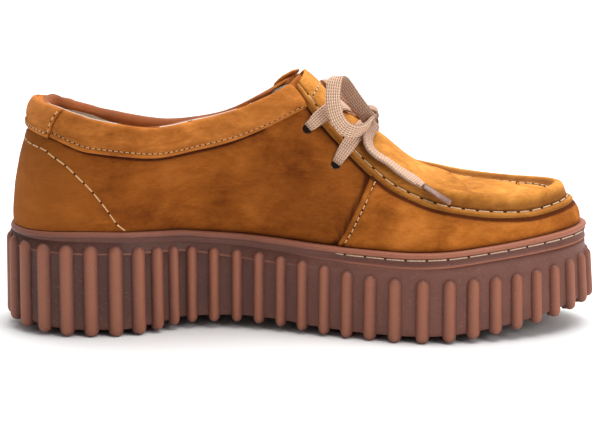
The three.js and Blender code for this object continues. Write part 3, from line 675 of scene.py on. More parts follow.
def stitch_row(name, stitches, gauge, length, radius, finish, holes, sink=0.35):
    """Thread stitches along lines of (point, normal), each a slim capsule half sunk into the leather, and
    before each a small dark dot, painted shade for its needle hole."""
    template = fresh(bpy.ops.mesh.primitive_uv_sphere_add, segments=8, ring_count=5, radius=radius * MM)
    shape = np.array([v.co[:] for v in template.data.vertices])[:, [2, 0, 1]] / MM
    faces = [tuple(p.vertices) for p in template.data.polygons]
    bpy.data.objects.remove(template)
    straight = length / 2 - radius
    between = (gauge - length) / 2
    points, polygons, kinds = [], [], []

    def lay(spots, kind):
        polygons.extend(tuple(len(points) + i for i in face) for face in faces)
        kinds.extend([kind] * len(faces))
        points.extend(spots)

    for line in stitches:
        spots = np.array([p for p, _ in line])
        normals = np.array([n for _, n in line])
        reach = travelled(spots)
        count = max(1, int(reach[-1] / gauge))
        for k in range(count):
            middle = (k + 0.5) * reach[-1] / count
            three = middle + np.array([-length / 2, 0, length / 2])
            start, centre, end = np.stack([np.interp(three, reach, spots[:, c]) for c in range(3)], axis=1)
            along = unit(end - start)
            out = np.array([np.interp(middle, reach, normals[:, c]) for c in range(3)])
            out = unit(out - along * out.dot(along))
            across = np.cross(out, along)
            capsule = []
            for x, y, z in shape:
                x += math.copysign(straight, x)
                arch = -sink * radius * (1 + 1.2 * (x / (length / 2)) ** 2)
                capsule.append(centre + along * x + across * y + out * (z * 0.8 + arch + radius * 0.5))
            lay(capsule, 0)
            pierced = start - along * between
            wide = between / radius + 0.35
            lay([pierced + along * x * wide + across * y * 1.15 + out * (z * 0.35) for x, y, z in shape], 1)
    obj = new_object(name, points, polygons, finish)
    obj.data.materials.append(holes)
    obj.data.polygons.foreach_set("material_index", kinds)
    return obj


def spline(points, steps):
    """Even places along a smooth line through chosen points."""
    points = np.asarray(points, float)
    padded = np.concatenate([[2 * points[0] - points[1]], points, [2 * points[-1] - points[-2]]])
    line = []
    for i in range(1, len(padded) - 2):
        a, b, c, d = padded[i - 1 : i + 3]
        for s in np.linspace(0, 1, 16, endpoint=False):
            line.append(0.5 * (2 * b + (c - a) * s + (2 * a - 5 * b + 4 * c - d) * s**2
                               + (3 * b - a - 3 * c + d) * s**3))
    line.append(points[-1])
    line = np.array(line)
    reach = travelled(line[:, :3])
    even = np.linspace(0, reach[-1], steps)
    return np.stack([np.interp(even, reach, line[:, k]) for k in range(line.shape[1])], axis=1)


def side_line(points, side, steps):
    """A line of the side view laid on the wall: its stations and shares."""
    return spline([LAST.locate(x, z, side) for x, z in points], steps)


# Finishes


class Value:
    """A number from a shader socket, which Python's arithmetic works on."""

    def __init__(self, finish, socket):
        self.finish = finish
        self.socket = socket

    def maths(self, operation, *inputs):
        return self.finish.node("ShaderNodeMath", dict(enumerate(inputs)), operation=operation)

    def __add__(self, other):
        return self.maths("ADD", self, other)

    __radd__ = __add__

    def __sub__(self, other):
        return self.maths("SUBTRACT", self, other)

    def __rsub__(self, other):
        return self.maths("SUBTRACT", other, self)

    def __mul__(self, other):
        return self.maths("MULTIPLY", self, other)

    def wave(self):
        """The sine of a number of turns."""
        return self.maths("SINE", self * (2 * math.pi))

    def within(self, low, high):
        """0 below low, 1 above high, and smooth between them."""
        return self.finish.node(
            "ShaderNodeMapRange", {0: self, 1: low, 2: high, 3: 0.0, 4: 1.0}, interpolation_type="SMOOTHSTEP"
        )


class Finish:
    """One material, built from nodes."""

    def __init__(self, name):
        self.material = bpy.data.materials.new(name)
        self.material.use_nodes = True
        self.tree = self.material.node_tree
        self.tree.nodes.clear()
        self.place = self.node("ShaderNodeTexCoord", output="Object").socket

    def node(self, kind, sockets=None, output=0, stops=None, **settings):
        """Adds a node: its settings first, then the values or links of its sockets."""
        node = self.tree.nodes.new(kind)
        for key, value in settings.items():
            setattr(node, key, value)
        if stops:
            ramp = node.color_ramp
            for place, color in stops[2:]:
                ramp.elements.new(place)
            for element, (place, color) in zip(ramp.elements, stops):
                element.position = place
                element.color = color
        for key, value in (sockets or {}).items():
            if isinstance(value, Value):
                self.tree.links.new(value.socket, node.inputs[key])
            elif isinstance(value, bpy.types.NodeSocket):
                self.tree.links.new(value, node.inputs[key])
            else:
                node.inputs[key].default_value = value
        return Value(self, node.outputs[output])

    def axes(self, kind, names, sockets):
        """Some outputs of one node, as numbers."""
        first = self.node(kind, sockets, output=names[0])
        return first, Value(self, first.socket.node.outputs[names[1]])

    def stretched(self, factors):
        return self.node("ShaderNodeMapping", {"Vector": self.place, "Scale": factors}).socket

    def noise(self, size, detail=3.0, roughness=0.55, distortion=0.0, place=None):
        """Noise whose features are about size millimetres across."""
        sockets = {"Vector": place or self.place, "Scale": 1 / (size * MM), "Detail": detail,
                   "Roughness": roughness, "Distortion": distortion}
        return self.node("ShaderNodeTexNoise", sockets)

    def ramp(self, value, *colors):
        """A colour ramp of (place, colour) stops."""
        stops = [(place, (*color[:3], 1)) for place, color in colors]
        return self.node("ShaderNodeValToRGB", {0: value}, stops=stops)

    def blend(self, factor, a, b):
        """Mixes two colours."""
        a = a if isinstance(a, Value) else (*a[:3], 1)
        b = b if isinstance(b, Value) else (*b[:3], 1)
        return self.node("ShaderNodeMix", {0: factor, 6: a, 7: b}, output=2, data_type="RGBA")

    def shade(self):
        return self.node("ShaderNodeAttribute", output="Fac", attribute_name="shade")

    def darkened(self, body, share, dark):
        """Darkens a colour where the shade is below 0."""
        return self.blend((0 - self.shade()).within(0.0, 1.0) * share, body, dark)

    def bump(self, height, distance, strength=1.0, below=None):
        sockets = {"Height": height, "Distance": distance * MM, "Strength": strength}
        if below is not None:
            sockets["Normal"] = below
        return self.node("ShaderNodeBump", sockets)

    def done(self, color, roughness, normal=None, **constants):
        """Closes the material with a Principled shader."""
        sockets = {"Base Color": color, "Roughness": roughness}
        if normal is not None:
            sockets["Normal"] = normal
        for key, value in constants.items():
            sockets[key.replace("_", " ").title().replace("Ior", "IOR")] = value
        shader = self.node("ShaderNodeBsdfPrincipled", sockets)
        end = self.tree.nodes.new("ShaderNodeOutputMaterial")
        self.tree.links.new(shader.socket, end.inputs["Surface"])
        return self.material


def tint(color, *factors):
    """A colour times one factor, or times a factor for each channel."""
    return tuple(channel * factor for channel, factor in zip(color[:3], factors * 3))


def nubuck(name, color):
    """Napped leather: cloudy tone, brushed streaks and fine grain; paler with wear and painted highlight,
    and darker with painted shade at seams, in grooves and under overlapping edges.
    """
    finish = Finish(name)
    brushed = finish.stretched((0.5, 0.7, 1.25))
    cloud = finish.noise(30, 3, 0.55, 0.5)
    patch = finish.noise(9, 4, 0.6, 0.8, brushed)
    nap = finish.noise(1.6, 4, 0.65, 0.3, brushed)
    grain = finish.noise(0.55, 2, 0.6, 0.0, brushed)
    body = finish.ramp(
        cloud * 0.46 + patch * 0.3 + nap * 0.16 + grain * 0.08,
        (0.38, tint(color, 0.5, 0.42, 0.34)),
        (0.455, tint(color, 0.76, 0.7, 0.62)),
        (0.53, color),
        (0.61, tint(color, 1.3, 1.38, 1.7)),
    )
    # Paler where the shade is above 0 (wear and painted highlight), darker where it is below 0 (painted
    # shade)
    worn_and_lit = finish.blend(finish.shade().within(0.0, 1.0) * 0.55, body, tint(color, 1.35, 1.5, 2.0))
    dark = finish.darkened(worn_and_lit, 0.94, tint(color, 0.15, 0.075, 0.06))
    speck = finish.noise(1.1, 2, 0.5).within(0.62, 0.74)
    napped = finish.blend(speck * 0.2, dark, tint(color, 1.2, 1.35, 1.6))
    coarse = finish.bump(patch * 0.5 + nap * 0.5, 0.7 * look().nap, 0.8)
    fine = finish.bump(grain * 0.6 + nap * 0.4, 0.32 * look().nap, 0.9, coarse)
    return finish.done(napped, 0.88 + nap * 0.1, fine, sheen_weight=0.06, sheen_roughness=0.5,
                       sheen_tint=(1, 0.6, 0.25, 1), specular_ior_level=0.12)


def smooth_leather(name, color):
    """Finished leather with a fine cell grain."""
    finish = Finish(name)
    sockets = {"Vector": finish.place, "Scale": 1 / (1.1 * MM)}
    cells = finish.node("ShaderNodeTexVoronoi", sockets, output="Distance")
    cloud = finish.noise(14, 3, 0.6)
    body = finish.ramp(cloud, (0.3, tint(color, 0.7)), (0.7, tint(color, 1.2)))
    normal = finish.bump(cells * 0.5 + finish.noise(5, 3) * 0.5, 0.25, 0.6)
    # Darker where the shade is below 0: painted shade
    return finish.done(finish.darkened(body, 0.7, tint(color, 0.3)), 0.55 + cloud * 0.16, normal,
                       specular_ior_level=0.14)


def textile(name, color):
    """Woven lining."""
    finish = Finish(name)
    across, up = finish.axes("ShaderNodeSeparateXYZ", "XZ", {0: finish.place})
    weave = (across * (1 / (0.9 * MM))).wave() * (up * (1 / (0.9 * MM))).wave() * 0.5 + 0.5
    body = finish.ramp(weave * 0.5 + finish.noise(9, 3) * 0.5, (0.3, tint(color, 0.8)), (0.7, color))
    return finish.done(body, 0.95, finish.bump(weave, 0.2, 0.6), specular_ior_level=0.15)


def rubber(name, color, pale):
    """Moulded rubber: satin and slightly mottled; paler on raised parts, partly with wear and partly as a
    painted highlight, and darker with painted shade.
    """
    finish = Finish(name)
    cloud = finish.noise(22, 4, 0.6)
    spots = finish.noise(2.2, 3, 0.6)
    mottle = cloud * 0.65 + spots * 0.35
    body = finish.ramp(mottle, (0.32, tint(color, 0.82)), (0.5, color), (0.7, tint(color, 1.16)))
    # Paler where the shade is above 0 (wear and painted highlight), darker where it is below 0 (painted
    # shade)
    raised = finish.blend(finish.shade().within(0.0, 1.0) * 0.85, body, pale)
    dark = finish.darkened(raised, 0.75, tint(color, 0.35))
    dust = finish.noise(0.7, 2, 0.5).within(0.6, 0.78)
    dusty = finish.blend(dust * 0.12, dark, (0.75, 0.68, 0.62))
    normal = finish.bump(spots * 0.4 + finish.noise(0.8, 2) * 0.6, 0.12, 0.5)
    return finish.done(dusty, 0.46 + cloud * 0.14, normal, specular_ior_level=0.3)


def woven_lace(name, color):
    """Flat knitted lace: slanted stitches in lengthwise ribs, over its own UV map in millimetres."""
    finish = Finish(name)
    flat = finish.node("ShaderNodeUVMap", uv_map="lace")
    across, along = finish.axes("ShaderNodeSeparateXYZ", "XY", {0: flat})
    rib = across * (1 / 1.05)
    fold = rib.wave() * 0.5 + 0.5
    slant = (along * (1 / 1.35) + rib.maths("PINGPONG", rib, 0.5) * 1.1).wave() * 0.5 + 0.5
    height = fold * 0.55 + slant * 0.45
    fuzz = finish.noise(0.6, 3, 0.7)
    # Darker in the weave's valleys as painted shade, paler on its tops as a painted highlight
    body = finish.ramp(height * 0.75 + fuzz * 0.25, (0.15, tint(color, 0.3)), (0.42, tint(color, 0.72)),
                       (0.62, color), (0.85, tint(color, 1.3, 1.36, 1.42)))
    # Darker where the shade is below 0: painted shade
    body = finish.darkened(body, 0.85, tint(color, 0.22, 0.15, 0.13))
    return finish.done(body, 0.9, finish.bump(height * 0.85 + fuzz * 0.15, 0.45, 0.9), specular_ior_level=0.2,
                       sheen_weight=0.2)


def thread(name, color):
    finish = Finish(name)
    twist = finish.noise(0.7, 2, 0.6)
    body = finish.ramp(twist, (0.3, tint(color, 0.6)), (0.65, color))
    return finish.done(body, 0.7, finish.bump(twist, 0.15, 0.6))


def pierced(name, color):
    """A flat dark finish: painted shade for the inside of a hole."""
    return Finish(name).done((*color, 1), 0.9, specular_ior_level=0.1)


def clear_tip(name, color):
    """Glossy film."""
    finish = Finish(name)
    body = finish.ramp(finish.noise(2.5, 3), (0.3, tint(color, 0.6)), (0.7, color))
    return finish.done(body, 0.16 + finish.noise(4, 2) * 0.1, coat_weight=0.9)


def size(name, about, default):
    """A length of the panel, in metres."""
    return bpy.props.FloatProperty(name=name, description=about, default=default, unit="LENGTH")


def tone(name, about, default):
    """A colour of the panel."""
    settings = {"size": 3, "subtype": "COLOR"}
    return bpy.props.FloatVectorProperty(name=name, description=about, default=default, **settings)


class ShoeLook(bpy.types.PropertyGroup):
    """Sizes and colours of the shoe."""

    lace_width: size("Lace width", "Width of the flat lace", 0.007)
    lace_thickness: size("Lace thickness", "Thickness of the flat lace", 0.002)
    margin: size("Margin", "From the apron's cut edge to its stitching", 0.0037)
    nap: bpy.props.FloatProperty(
        name="Nap", description="How rough the nubuck's nap is", default=1.0, min=0, max=3, subtype="FACTOR"
    )
    quarter: tone("Quarters", "Nubuck of the quarters", (0.29, 0.08, 0.0095))
    band: tone("Band", "Nubuck of the collar band", (0.49, 0.16, 0.028))
    vamp: tone("Vamp", "Nubuck of the vamp", (0.43, 0.13, 0.017))
    apron: tone("Apron", "Nubuck of the apron and tongue", (0.62, 0.25, 0.045))
    rubber: tone("Rubber", "Rubber of the sole", (0.17, 0.064, 0.045))
    # Blended in where the shade is above 0: wear and painted highlight on ribs, bead, lip and parting line
    rubber_pale: tone("Pale rubber", "Rubber of ribs and bead", (0.37, 0.128, 0.068))
    lace: tone("Lace", "Woven lace", (0.85, 0.54, 0.37))
    lining: tone("Lining", "Textile lining", (0.9, 0.8, 0.7))
    roll: tone("Collar leather", "Smooth leather of the collar roll", (0.26, 0.068, 0.016))
    thread: tone("Thread", "Stitching thread", (0.82, 0.48, 0.21))


def look():
    return bpy.context.scene.shoe_look


def mounted(obj, slot, *nodes):
    """A finished piece: it rides on the shoe and stands for its solids. The slot is not used."""
    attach(obj, "root")
    if nodes:
        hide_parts(*nodes)
    return obj


# Lace

LACE_SIDES = 14
HOLE_RADIUS = 2.3


def ribbon(name, points, widths, finish, dark, narrow=None):
    """A flat lace along points, with the way that its width lies at each, and UVs in millimetres."""
    full = look().lace_width / MM
    thick = look().lace_thickness / MM
    verts, uvs = [], []
    reach = travelled(points)
    for k, point in enumerate(points):
        width = full * (1 if narrow is None else narrow[k])
        along = unit(points[min(len(points) - 1, k + 1)] - points[max(0, k - 1)])
        wide = unit(widths[k] - along * widths[k].dot(along))
        out = np.cross(wide, along)
        for n in range(LACE_SIDES):
            turn = 2 * math.pi * (n + 0.5) / LACE_SIDES
            c, s = -math.cos(turn), math.sin(turn)
            u = math.copysign(abs(c) ** 0.55, c)
            w = math.copysign(abs(s) ** 0.7, s)
            flat = 1 - 0.12 * (1 - abs(u)) ** 0.5
            verts.append(point + wide * u * width / 2 + out * w * thick / 2 * flat)
            uvs.append((u * width / 2 + (width + 2 if s < 0 else 0), reach[k]))
    # dark is painted shade, carried by the shade attribute
    shades = np.repeat(-dark, LACE_SIDES)
    return new_object(name, verts, ring_faces(len(points), LACE_SIDES), finish, shades, uvs)


def eyelet_at(hole, side):
    """Station and share of a lace hole."""
    at, setback, _ = hole
    v = station_at(at)
    return v, apron_at(v, side) - setback / LAST.length(v, side)


def each_eyelet():
    """Station, side and share of every lace hole."""
    return [(v, side, t) for side in (INNER, OUTER) for v, t in (eyelet_at(hole, side) for hole in EYELETS)]


def lace_bar(name, hole, finish):
    """The lace from one hole over the apron to its fellow, with its ends down in the holes."""
    height = ON_APRON + LACE_LIFT
    cross = station_at(hole[2])
    half = {}
    for side in (INNER, OUTER):
        v0, t0 = eyelet_at(hole, side)
        ahead = 1.7 / LAST.length(v0, side)
        places = [(v0, t0 + 0.3 * ahead, -4.0), (v0, t0 + 0.5 * ahead, -1.2), (v0 + 0.001, t0 + ahead, 0.5)]
        for s in np.linspace(0.1, 1, 10):
            places.append((mix(v0, cross, s), mix(t0, 1, s), mix(0.9, height, smooth(0.02, 0.36, s))))
        half[side] = [np.concatenate(LAST.spot(v, side, t, d)) for v, t, d in places]
    both = spline(half[INNER] + half[OUTER][::-1][1:], 110)
    points, normals = both[:, :3], both[:, 3:]
    last = len(points) - 1
    widths = [np.cross(points[min(k + 1, last)] - points[max(k - 1, 0)], normals[k]) for k in range(last + 1)]
    widths = [unit(sum(widths[max(0, k - 4) : k + 5])) for k in range(last + 1)]
    ends = np.linspace(0, 1, last + 1)
    ends = np.minimum(ends, 1 - ends)
    narrow = 0.66 + 0.32 * smooth(0.03, 0.16, ends)
    # Painted shade along the bar, deepest where its ends go down into the holes
    return ribbon(name, points, widths, finish, 0.55 * smooth(0.1, 0.0, ends) + 0.3, narrow)


def far_route():
    """The far loop is the near one mirrored about the knot, wider and lower."""
    route = []
    for (px, py, pz), (wx, wy, wz) in LOOP_ROUTE:
        x = FAR_LOOP["centre"] + (px - FAR_LOOP["near_centre"]) * FAR_LOOP["stretch"]
        z = FAR_LOOP["base"] + (pz - FAR_LOOP["near_base"]) * FAR_LOOP["squash"]
        z -= (x - FAR_LOOP["lean_from"]) * FAR_LOOP["lean"]
        route.append(((x, 2 * KNOT[1] - py * FAR_LOOP["spread"], z), (wx, -wy, wz)))
    return route


def end_route(side):
    """A lace end over the leather, on edge near the knot and flat farther on, and the way its tip points."""
    spots = [LAST.spot(station_at(at), side, up, ON_APRON + lift) for at, up, lift in END_ROUTES[side]]
    route = []
    for k, (point, normal) in enumerate(spots[:-1]):
        wide = unit(np.cross(spots[k + 1][0] - point, normal))
        turn = math.radians(27) * (1 - smooth(4, 9, k)) if side == INNER else 0.0
        route.append((point, unit(wide * math.cos(turn) - side * normal * math.sin(turn))))
    return route, unit(spots[-1][0] - spots[-2][0])


class SHOE_OT_laces(bpy.types.Operator):
    """Lace: crossings, knot, loops, ends and tips"""

    bl_idname = "shoe.laces"
    bl_label = "Laces"

    def execute(self, context):
        woven = woven_lace("woven lace", look().lace)
        plastic = clear_tip("lace tip", (0.46, 0.22, 0.15))
        for hole, name in zip(EYELETS, ("upper", "lower")):
            mounted(lace_bar(f"crossing_{name}", hole, woven), "lace", f"lace_bar_{name}")
        self.eyelet_shadows(pierced("eyelet shadow", (0.012, 0.006, 0.004)))
        mounted(self.knot(woven), "lace", "lace_knot")
        # Painted shade: the near loop's far half, all of the far loop, and the ends, the far one most
        self.cord("loop", "near", LOOP_ROUTE, 110, woven, [(0.62, 0.5, 0.3), 0.0])
        self.cord("loop", "far", far_route(), 110, woven, [(0.0, 0.0, 1.0), 0.45])
        for name, side, base in (("near", INNER, 0.28), ("far", OUTER, 0.78)):
            route, along = end_route(side)
            dark = [(0.3, 0.6, 0.1), base]
            self.cord("end", name, route, 60, woven, dark, (along, plastic))
        return {"FINISHED"}

    def eyelet_shadows(self, finish):
        """The dark of each lace hole, a thin lens down in it."""
        lenses = []
        for v, side, t in each_eyelet():
            lens = fresh(bpy.ops.mesh.primitive_uv_sphere_add, segments=24, ring_count=8,
                         radius=(HOLE_RADIUS - 0.25) * MM)
            lens.data.transform(Matrix.Diagonal((1, 1, 0.16, 1)))
            stood(lens, *LAST.spot(v, side, t, -0.02))
            lens.data.materials.append(finish)
            bpy.ops.object.shade_smooth()
            lenses.append(lens)
        shadows = joined(*lenses)
        shadows.name = "eyelet_shadows"
        mounted(shadows, "nubuck")

    def knot(self, woven):
        """The wrap of the bow: a band round the roots of the loops, over a filled middle."""
        turns = np.linspace(0, 2 * math.pi, 33)
        around = np.stack([np.cos(turns), np.sin(turns), np.sin(turns)], axis=1)
        points = np.array(KNOT) + around * KNOT_RADII
        widths = [np.array([0.25 * math.sin(a), 1, 0.1]) for a in turns]
        # Painted shade over the whole wrap
        wrap = ribbon("bow_knot", points, widths, woven, np.full(len(points), 0.55))
        core = fresh(bpy.ops.mesh.primitive_uv_sphere_add, segments=24, ring_count=12, radius=0.5,
                     location=tuple(np.array(KNOT) * MM))
        core.scale = np.array(KNOT_CORE) * MM
        bpy.ops.object.transform_apply(location=True, rotation=True, scale=True)
        core.data.uv_layers[0].name = "lace"
        for loop in core.data.uv_layers[0].data:
            loop.uv = (loop.uv[0] * 20, loop.uv[1] * 12)
        core.data.materials.append(woven)
        bpy.ops.object.shade_smooth()
        return joined(wrap, core)

    def cord(self, kind, name, route, steps, woven, dark, tipped=None):
        """A free length of lace over a route of places and of the way that its width lies there.

        dark holds the painted shade along it: a step, as height, start and end, and then the shade of its
        whole length.
        tipped is the direction and the finish of the tip on its end.
        """
        both = spline([np.concatenate(place) for place in route], steps)
        points = both[:, :3]
        along = np.linspace(0, 1, steps)
        narrow = 0.94 - 0.42 * smooth(0.86, 1.0, along) if tipped else None
        (step, low, high), whole = dark
        shades = whole + step * smooth(low, high, along)
        obj = ribbon(f"{kind}_{name}", points, both[:, 3:], woven, shades, narrow)
        mounted(obj, "lace", f"lace_{kind}_{name}")
        pieces = ()
        if tipped:
            tip = self.tip(f"tip_{name}", points[-1], *tipped)
            pieces = [mounted(tip, "lace_tip", f"lace_tip_{name}")]

    def tip(self, name, start, along, plastic):
        """A slim rod with a soft shoulder where it grips the lace and a rounded nose."""
        tip = fresh(bpy.ops.mesh.primitive_cylinder_add, vertices=18, radius=TIP_RADIUS * MM,
                    depth=TIP_LENGTH * MM)
        tip.name = name
        edited(tip, bpy.ops.mesh.bevel, offset=0.45 * MM, segments=3)
        stood(tip, start + along * (2 * GAP + TIP_LENGTH / 2), along)
        bpy.ops.object.shade_smooth()
        tip.data.materials.append(plastic)
        return tip


# Sole

SOLE_PLACES = 260
# Levels up the wall: the share of its height, and how far out
WALL_LEVELS = ((0.0, -2.6), (0.0, -1.2), (0.01, -0.35), (0.03, 0.0), (0.2, 0.0), (0.4, 0.0), (0.6, 0.0))
# The welt's face from below, each row: out past the wall's draft at the heel and out in front, height between
# the line and the top, shade at the heel and in front (painted shade on the hollow face, a painted highlight
# on the front's lip). The last word says which rows are the front's lip.
WELT_FACE = (
    (0.0, -0.9, 0.03, -0.64, 0.9, "lip"),
    (0.0, -0.6, 0.07, -0.64, 1.0, "lip"),
    (0.0, -1.1, 0.115, -0.62, 0.5, "lip"),
    (0.04, -1.7, 0.19, -0.62, -0.3, "face"),
    (0.1, -1.95, 0.32, -0.6, -0.5, "face"),
    (0.2, -2.05, 0.46, -0.55, -0.55, "face"),
    (0.3, -2.05, 0.54, -0.45, -0.6, "face"),
    (0.42, -2.2, 0.6, -0.35, -0.7, "face"),
    (0.6, -1.8, 0.66, -0.2, -0.1, "face"),
)


def round_sole(count):
    """Places all round the sole: up the inner side from the heel, and back down the outer side."""
    half = count // 2
    return [(i / half, INNER) for i in range(half)] + [(i / half, OUTER) for i in range(half, 0, -1)]


def wall_draft(at, up):
    """The wall leans in a little towards its top."""
    return -up * mix(0.5, 1.8, smooth(0.6, 1, at))


def rib_scale(at):
    """How wide the ribs are along the sole."""
    return 1 - 0.24 * smooth(0.22, 0.3, at) + 0.18 * smooth(0.5, 0.66, at) - 0.12 * smooth(0.8, 0.95, at)


def rib_stations(side):
    """Stations of the ribs on one side. The first stands half a pitch from the heel's middle."""
    steps = 600
    spots = [wall_point(i / steps, side) for i in range(steps + 1)]
    reach = [0.0]
    for i in range(1, steps + 1):
        step = np.linalg.norm(spots[i] - spots[i - 1])
        reach.append(reach[-1] + step / rib_pitch(share((i - 0.5) / steps)))
    wants = [(k + 0.5) / RIB_PAIRS * reach[-1] for k in range(RIB_PAIRS)]
    return [float(np.interp(want, reach, np.arange(steps + 1))) / steps for want in wants]


class SHOE_OT_outsole(bpy.types.Operator):
    """Outsole: smooth wall with a parting line, round ribs and a barred tread"""

    bl_idname = "shoe.outsole"
    bl_label = "Outsole"

    def execute(self, context):
        finish = rubber("sole rubber", look().rubber, look().rubber_pale)
        mounted(joined(self.wall(finish), self.ribs(finish), self.bars(finish)), "rubber", "outsole")
        return {"FINISHED"}

    def wall(self, finish):
        """Columns up the wall, with a parting line at the heel, pale along its ridge as a painted highlight,
        and painted shade on the wall between the ribs there.
        """
        points, shades = [], []
        places = round_sole(SOLE_PLACES)
        count = 0
        for v, side in places:
            at = share(v)
            x = wall_point(v, side)[0]
            bottom = sole_z(tread_lift, x) + TREAD_DEPTH
            top = sole_z(welt_line, x)
            part = sole_z(part_line, x)
            strength = 0.5 * (1 - smooth(0.46, 0.55, at))
            # Painted shade on the wall between the ribs, deepest at the heel
            dark = -mix(0.95, 0.12, smooth(0.2, 0.7, at))
            levels = []
            for up, out in WALL_LEVELS:
                levels.append((mix(bottom, top, up), out, dark * mix(0.55, 1, smooth(0, 0.3, up))))
            levels += [
                # The parting line: a small ridge with a painted highlight along it
                (part - 0.55, 0.0, dark),
                (part - 0.28, strength * 0.8, 0.5),
                (part, strength, 0.8),
                (part + 0.28, strength * 0.2, 0.3),
                (part + 0.6, -0.1 * strength, dark),
                (top, 0.0, mix(-0.64, dark, smooth(0.4, 0.6, at))),
                (top, -2.0, 0.0),
            ]
            count = len(levels)
            for z, out, shade in levels:
                points.append((*off_wall(v, side, out + wall_draft(at, (z - bottom) / (top - bottom))), z))
                shades.append(shade * (strength * 1.2 if shade > 0 else 1))
        faces = strip_faces(len(places), count, flip=True, closed=True)
        faces.append(tuple(i * count for i in range(len(places))))
        faces.append(tuple(i * count + count - 1 for i in range(len(places)))[::-1])
        return new_object("outsole_rubber", points, faces, finish, shades)

    def ribs(self, finish):
        """Half-round rods with rounded ends, all round the wall."""
        points, shades, faces = [], [], []
        turns = np.linspace(-0.5, 0.5, 13) * math.pi
        ends = np.linspace(0, 0.5, 6) * math.pi
        for v, side in [(v, side) for side in (INNER, OUTER) for v in rib_stations(side)]:
            at = share(v)
            normal = wall_normal(v, side)
            across = side * np.array([normal[1], -normal[0]])
            wide = RIB_WIDTH / 2 * rib_scale(at)
            x = wall_point(v, side)[0]
            bottom = sole_z(tread_lift, x)
            top = sole_z(rib_top, x) - 0.5
            levels = [(bottom + RIB_FOOT * (1 - math.sin(a)), math.cos(a)) for a in ends[::-1]]
            levels += [(top - wide * 1.15 * (1 - math.sin(a)), math.cos(a)) for a in ends]
            quads = ring_faces(len(levels), len(turns) + 2)
            faces += [tuple(len(points) + i for i in quad) for quad in quads]
            for z, size in levels:
                size = max(size, 0.12)
                centre = off_wall(v, side, wall_draft(at, (z - bottom) / (top - bottom)))
                for a in turns:
                    along = math.sin(a) * wide * size
                    along += math.copysign(0.1225 * wide * abs(math.sin(a)) ** 6, along)
                    out = math.cos(a) * RIB_RELIEF * size**0.8
                    points.append((*(centre + normal * out + across * along), z))
                    # Paler towards each rib's crest: partly wear, partly a painted highlight
                    shades.append(0.85 * abs(math.cos(a)) ** 1.2 * size - 0.1)
                for back in (1, -1):
                    points.append((*(centre - normal * RIB_BACK + across * back * wide * size), z))
                    shades.append(0.0)
        return merged(outward(new_object("ribs", points, faces, finish, shades)), 0.01)

    def bars(self, finish):
        """Cross bars of the tread, each a bevelled block on the sole's underside."""
        bars = []
        for inner, outer in list(zip(rib_stations(INNER), rib_stations(OUTER)))[1:-1]:
            a = off_wall(inner, INNER, -BAR_INSET)
            b = off_wall(outer, OUTER, -BAR_INSET)
            middle = (a + b) / 2
            wide = BAR_WIDTH * rib_scale((share(inner) + share(outer)) / 2)
            tall = TREAD_DEPTH + 2
            place = np.array([*middle, sole_z(tread_lift, middle[0]) + tall / 2]) * MM
            turn = math.atan2(b[1] - a[1], b[0] - a[0]) - math.pi / 2
            bar = fresh(bpy.ops.mesh.primitive_cube_add, size=1, location=tuple(place), rotation=(0, 0, turn))
            bar.scale = (wide * MM, np.linalg.norm(b - a) * MM, tall * MM)
            bpy.ops.object.transform_apply(location=True, rotation=True, scale=True)
            edited(bar, bpy.ops.mesh.bevel, offset=0.7 * MM, segments=2)
            bar.data.materials.append(finish)
            bars.append(bar)
        return joined(*bars)


class SHOE_OT_welt(bpy.types.Operator):
    """Welt: bead on top, hollow face, and a stitched ledge round the forefoot"""

    bl_idname = "shoe.welt"
    bl_label = "Welt"

    def execute(self, context):
        finish = rubber("welt rubber", tint(look().rubber, 1.1), look().rubber_pale)
        rings = [self.section(v, side) for v, side in round_sole(SOLE_PLACES)]
        spots = [spot for ring in rings for spot in ring]
        faces = ring_faces(len(rings), len(rings[0]), closed=True)
        obj = new_object("welt_strip", [p for p, _ in spots], faces, finish, [shade for _, shade in spots])
        mounted(obj, "rubber", "welt")
        stitching = thread("welt thread", (0.72, 0.5, 0.34))
        dark = pierced("welt needle hole", (0.04, 0.02, 0.015))
        for side, name in ((INNER, "inner"), (OUTER, "outer")):
            line = [self.groove(v, side) for v in np.linspace(station_at(0.54), 1, 120)]
            row = stitch_row(f"welt_stitches_{name}", [line], 9.5, 8.6, 0.36, stitching, dark, 0.2)
            mounted(row, "rubber")
        return {"FINISHED"}

    def place(self, v, side, out, up, above=0.0):
        """A point out from the wall, at a share of the height from the line to the top."""
        x, y = off_wall(v, side, out)
        return x, y, mix(sole_z(welt_line, x), sole_z(welt_top, x), up) + above

    def section(self, v, side):
        """Closed section of the strip: outer face from the line up over the bead, then the hidden back."""
        front = smooth(0.47, 0.6, share(v))
        out_by = {"face": front, "lip": front * (1 - 0.75 * smooth(0.93, 1.0, share(v)))}
        flush = wall_draft(share(v), 1)
        ring = [(self.place(v, side, -2.6, 0), -0.6)]
        ring.append((self.place(v, side, flush, 0), mix(-0.64, -0.3, front)))
        for past, out, up, heel_shade, front_shade, kind in WELT_FACE:
            point = self.place(v, side, mix(flush + past, out, out_by[kind]), up)
            ring.append((point, mix(heel_shade, front_shade, front)))
        bead = mix(0.35, -1.2, front)
        radius = mix(1.9, 1.3, front)
        for angle in np.linspace(mix(-0.12, -0.3, front), 0.5, 7) * math.pi:
            out = bead + radius * (math.cos(angle) - 1)
            point = self.place(v, side, out, 1, radius * (math.sin(angle) - 1))
            # Painted highlight on the bead's top
            ring.append((point, mix(0.15 + 0.5 * math.sin(angle), 0.9, front)))
        ring += [(self.place(v, side, -8.0, up), 0.0) for up in (1, 0)]
        return ring[::-1]

    def groove(self, v, side):
        """Where the welt's stitches lie, and the way they face."""
        return np.array(self.place(v, side, -1.9, 0.56)), np.array([*wall_normal(v, side), 0.15])


# Upper


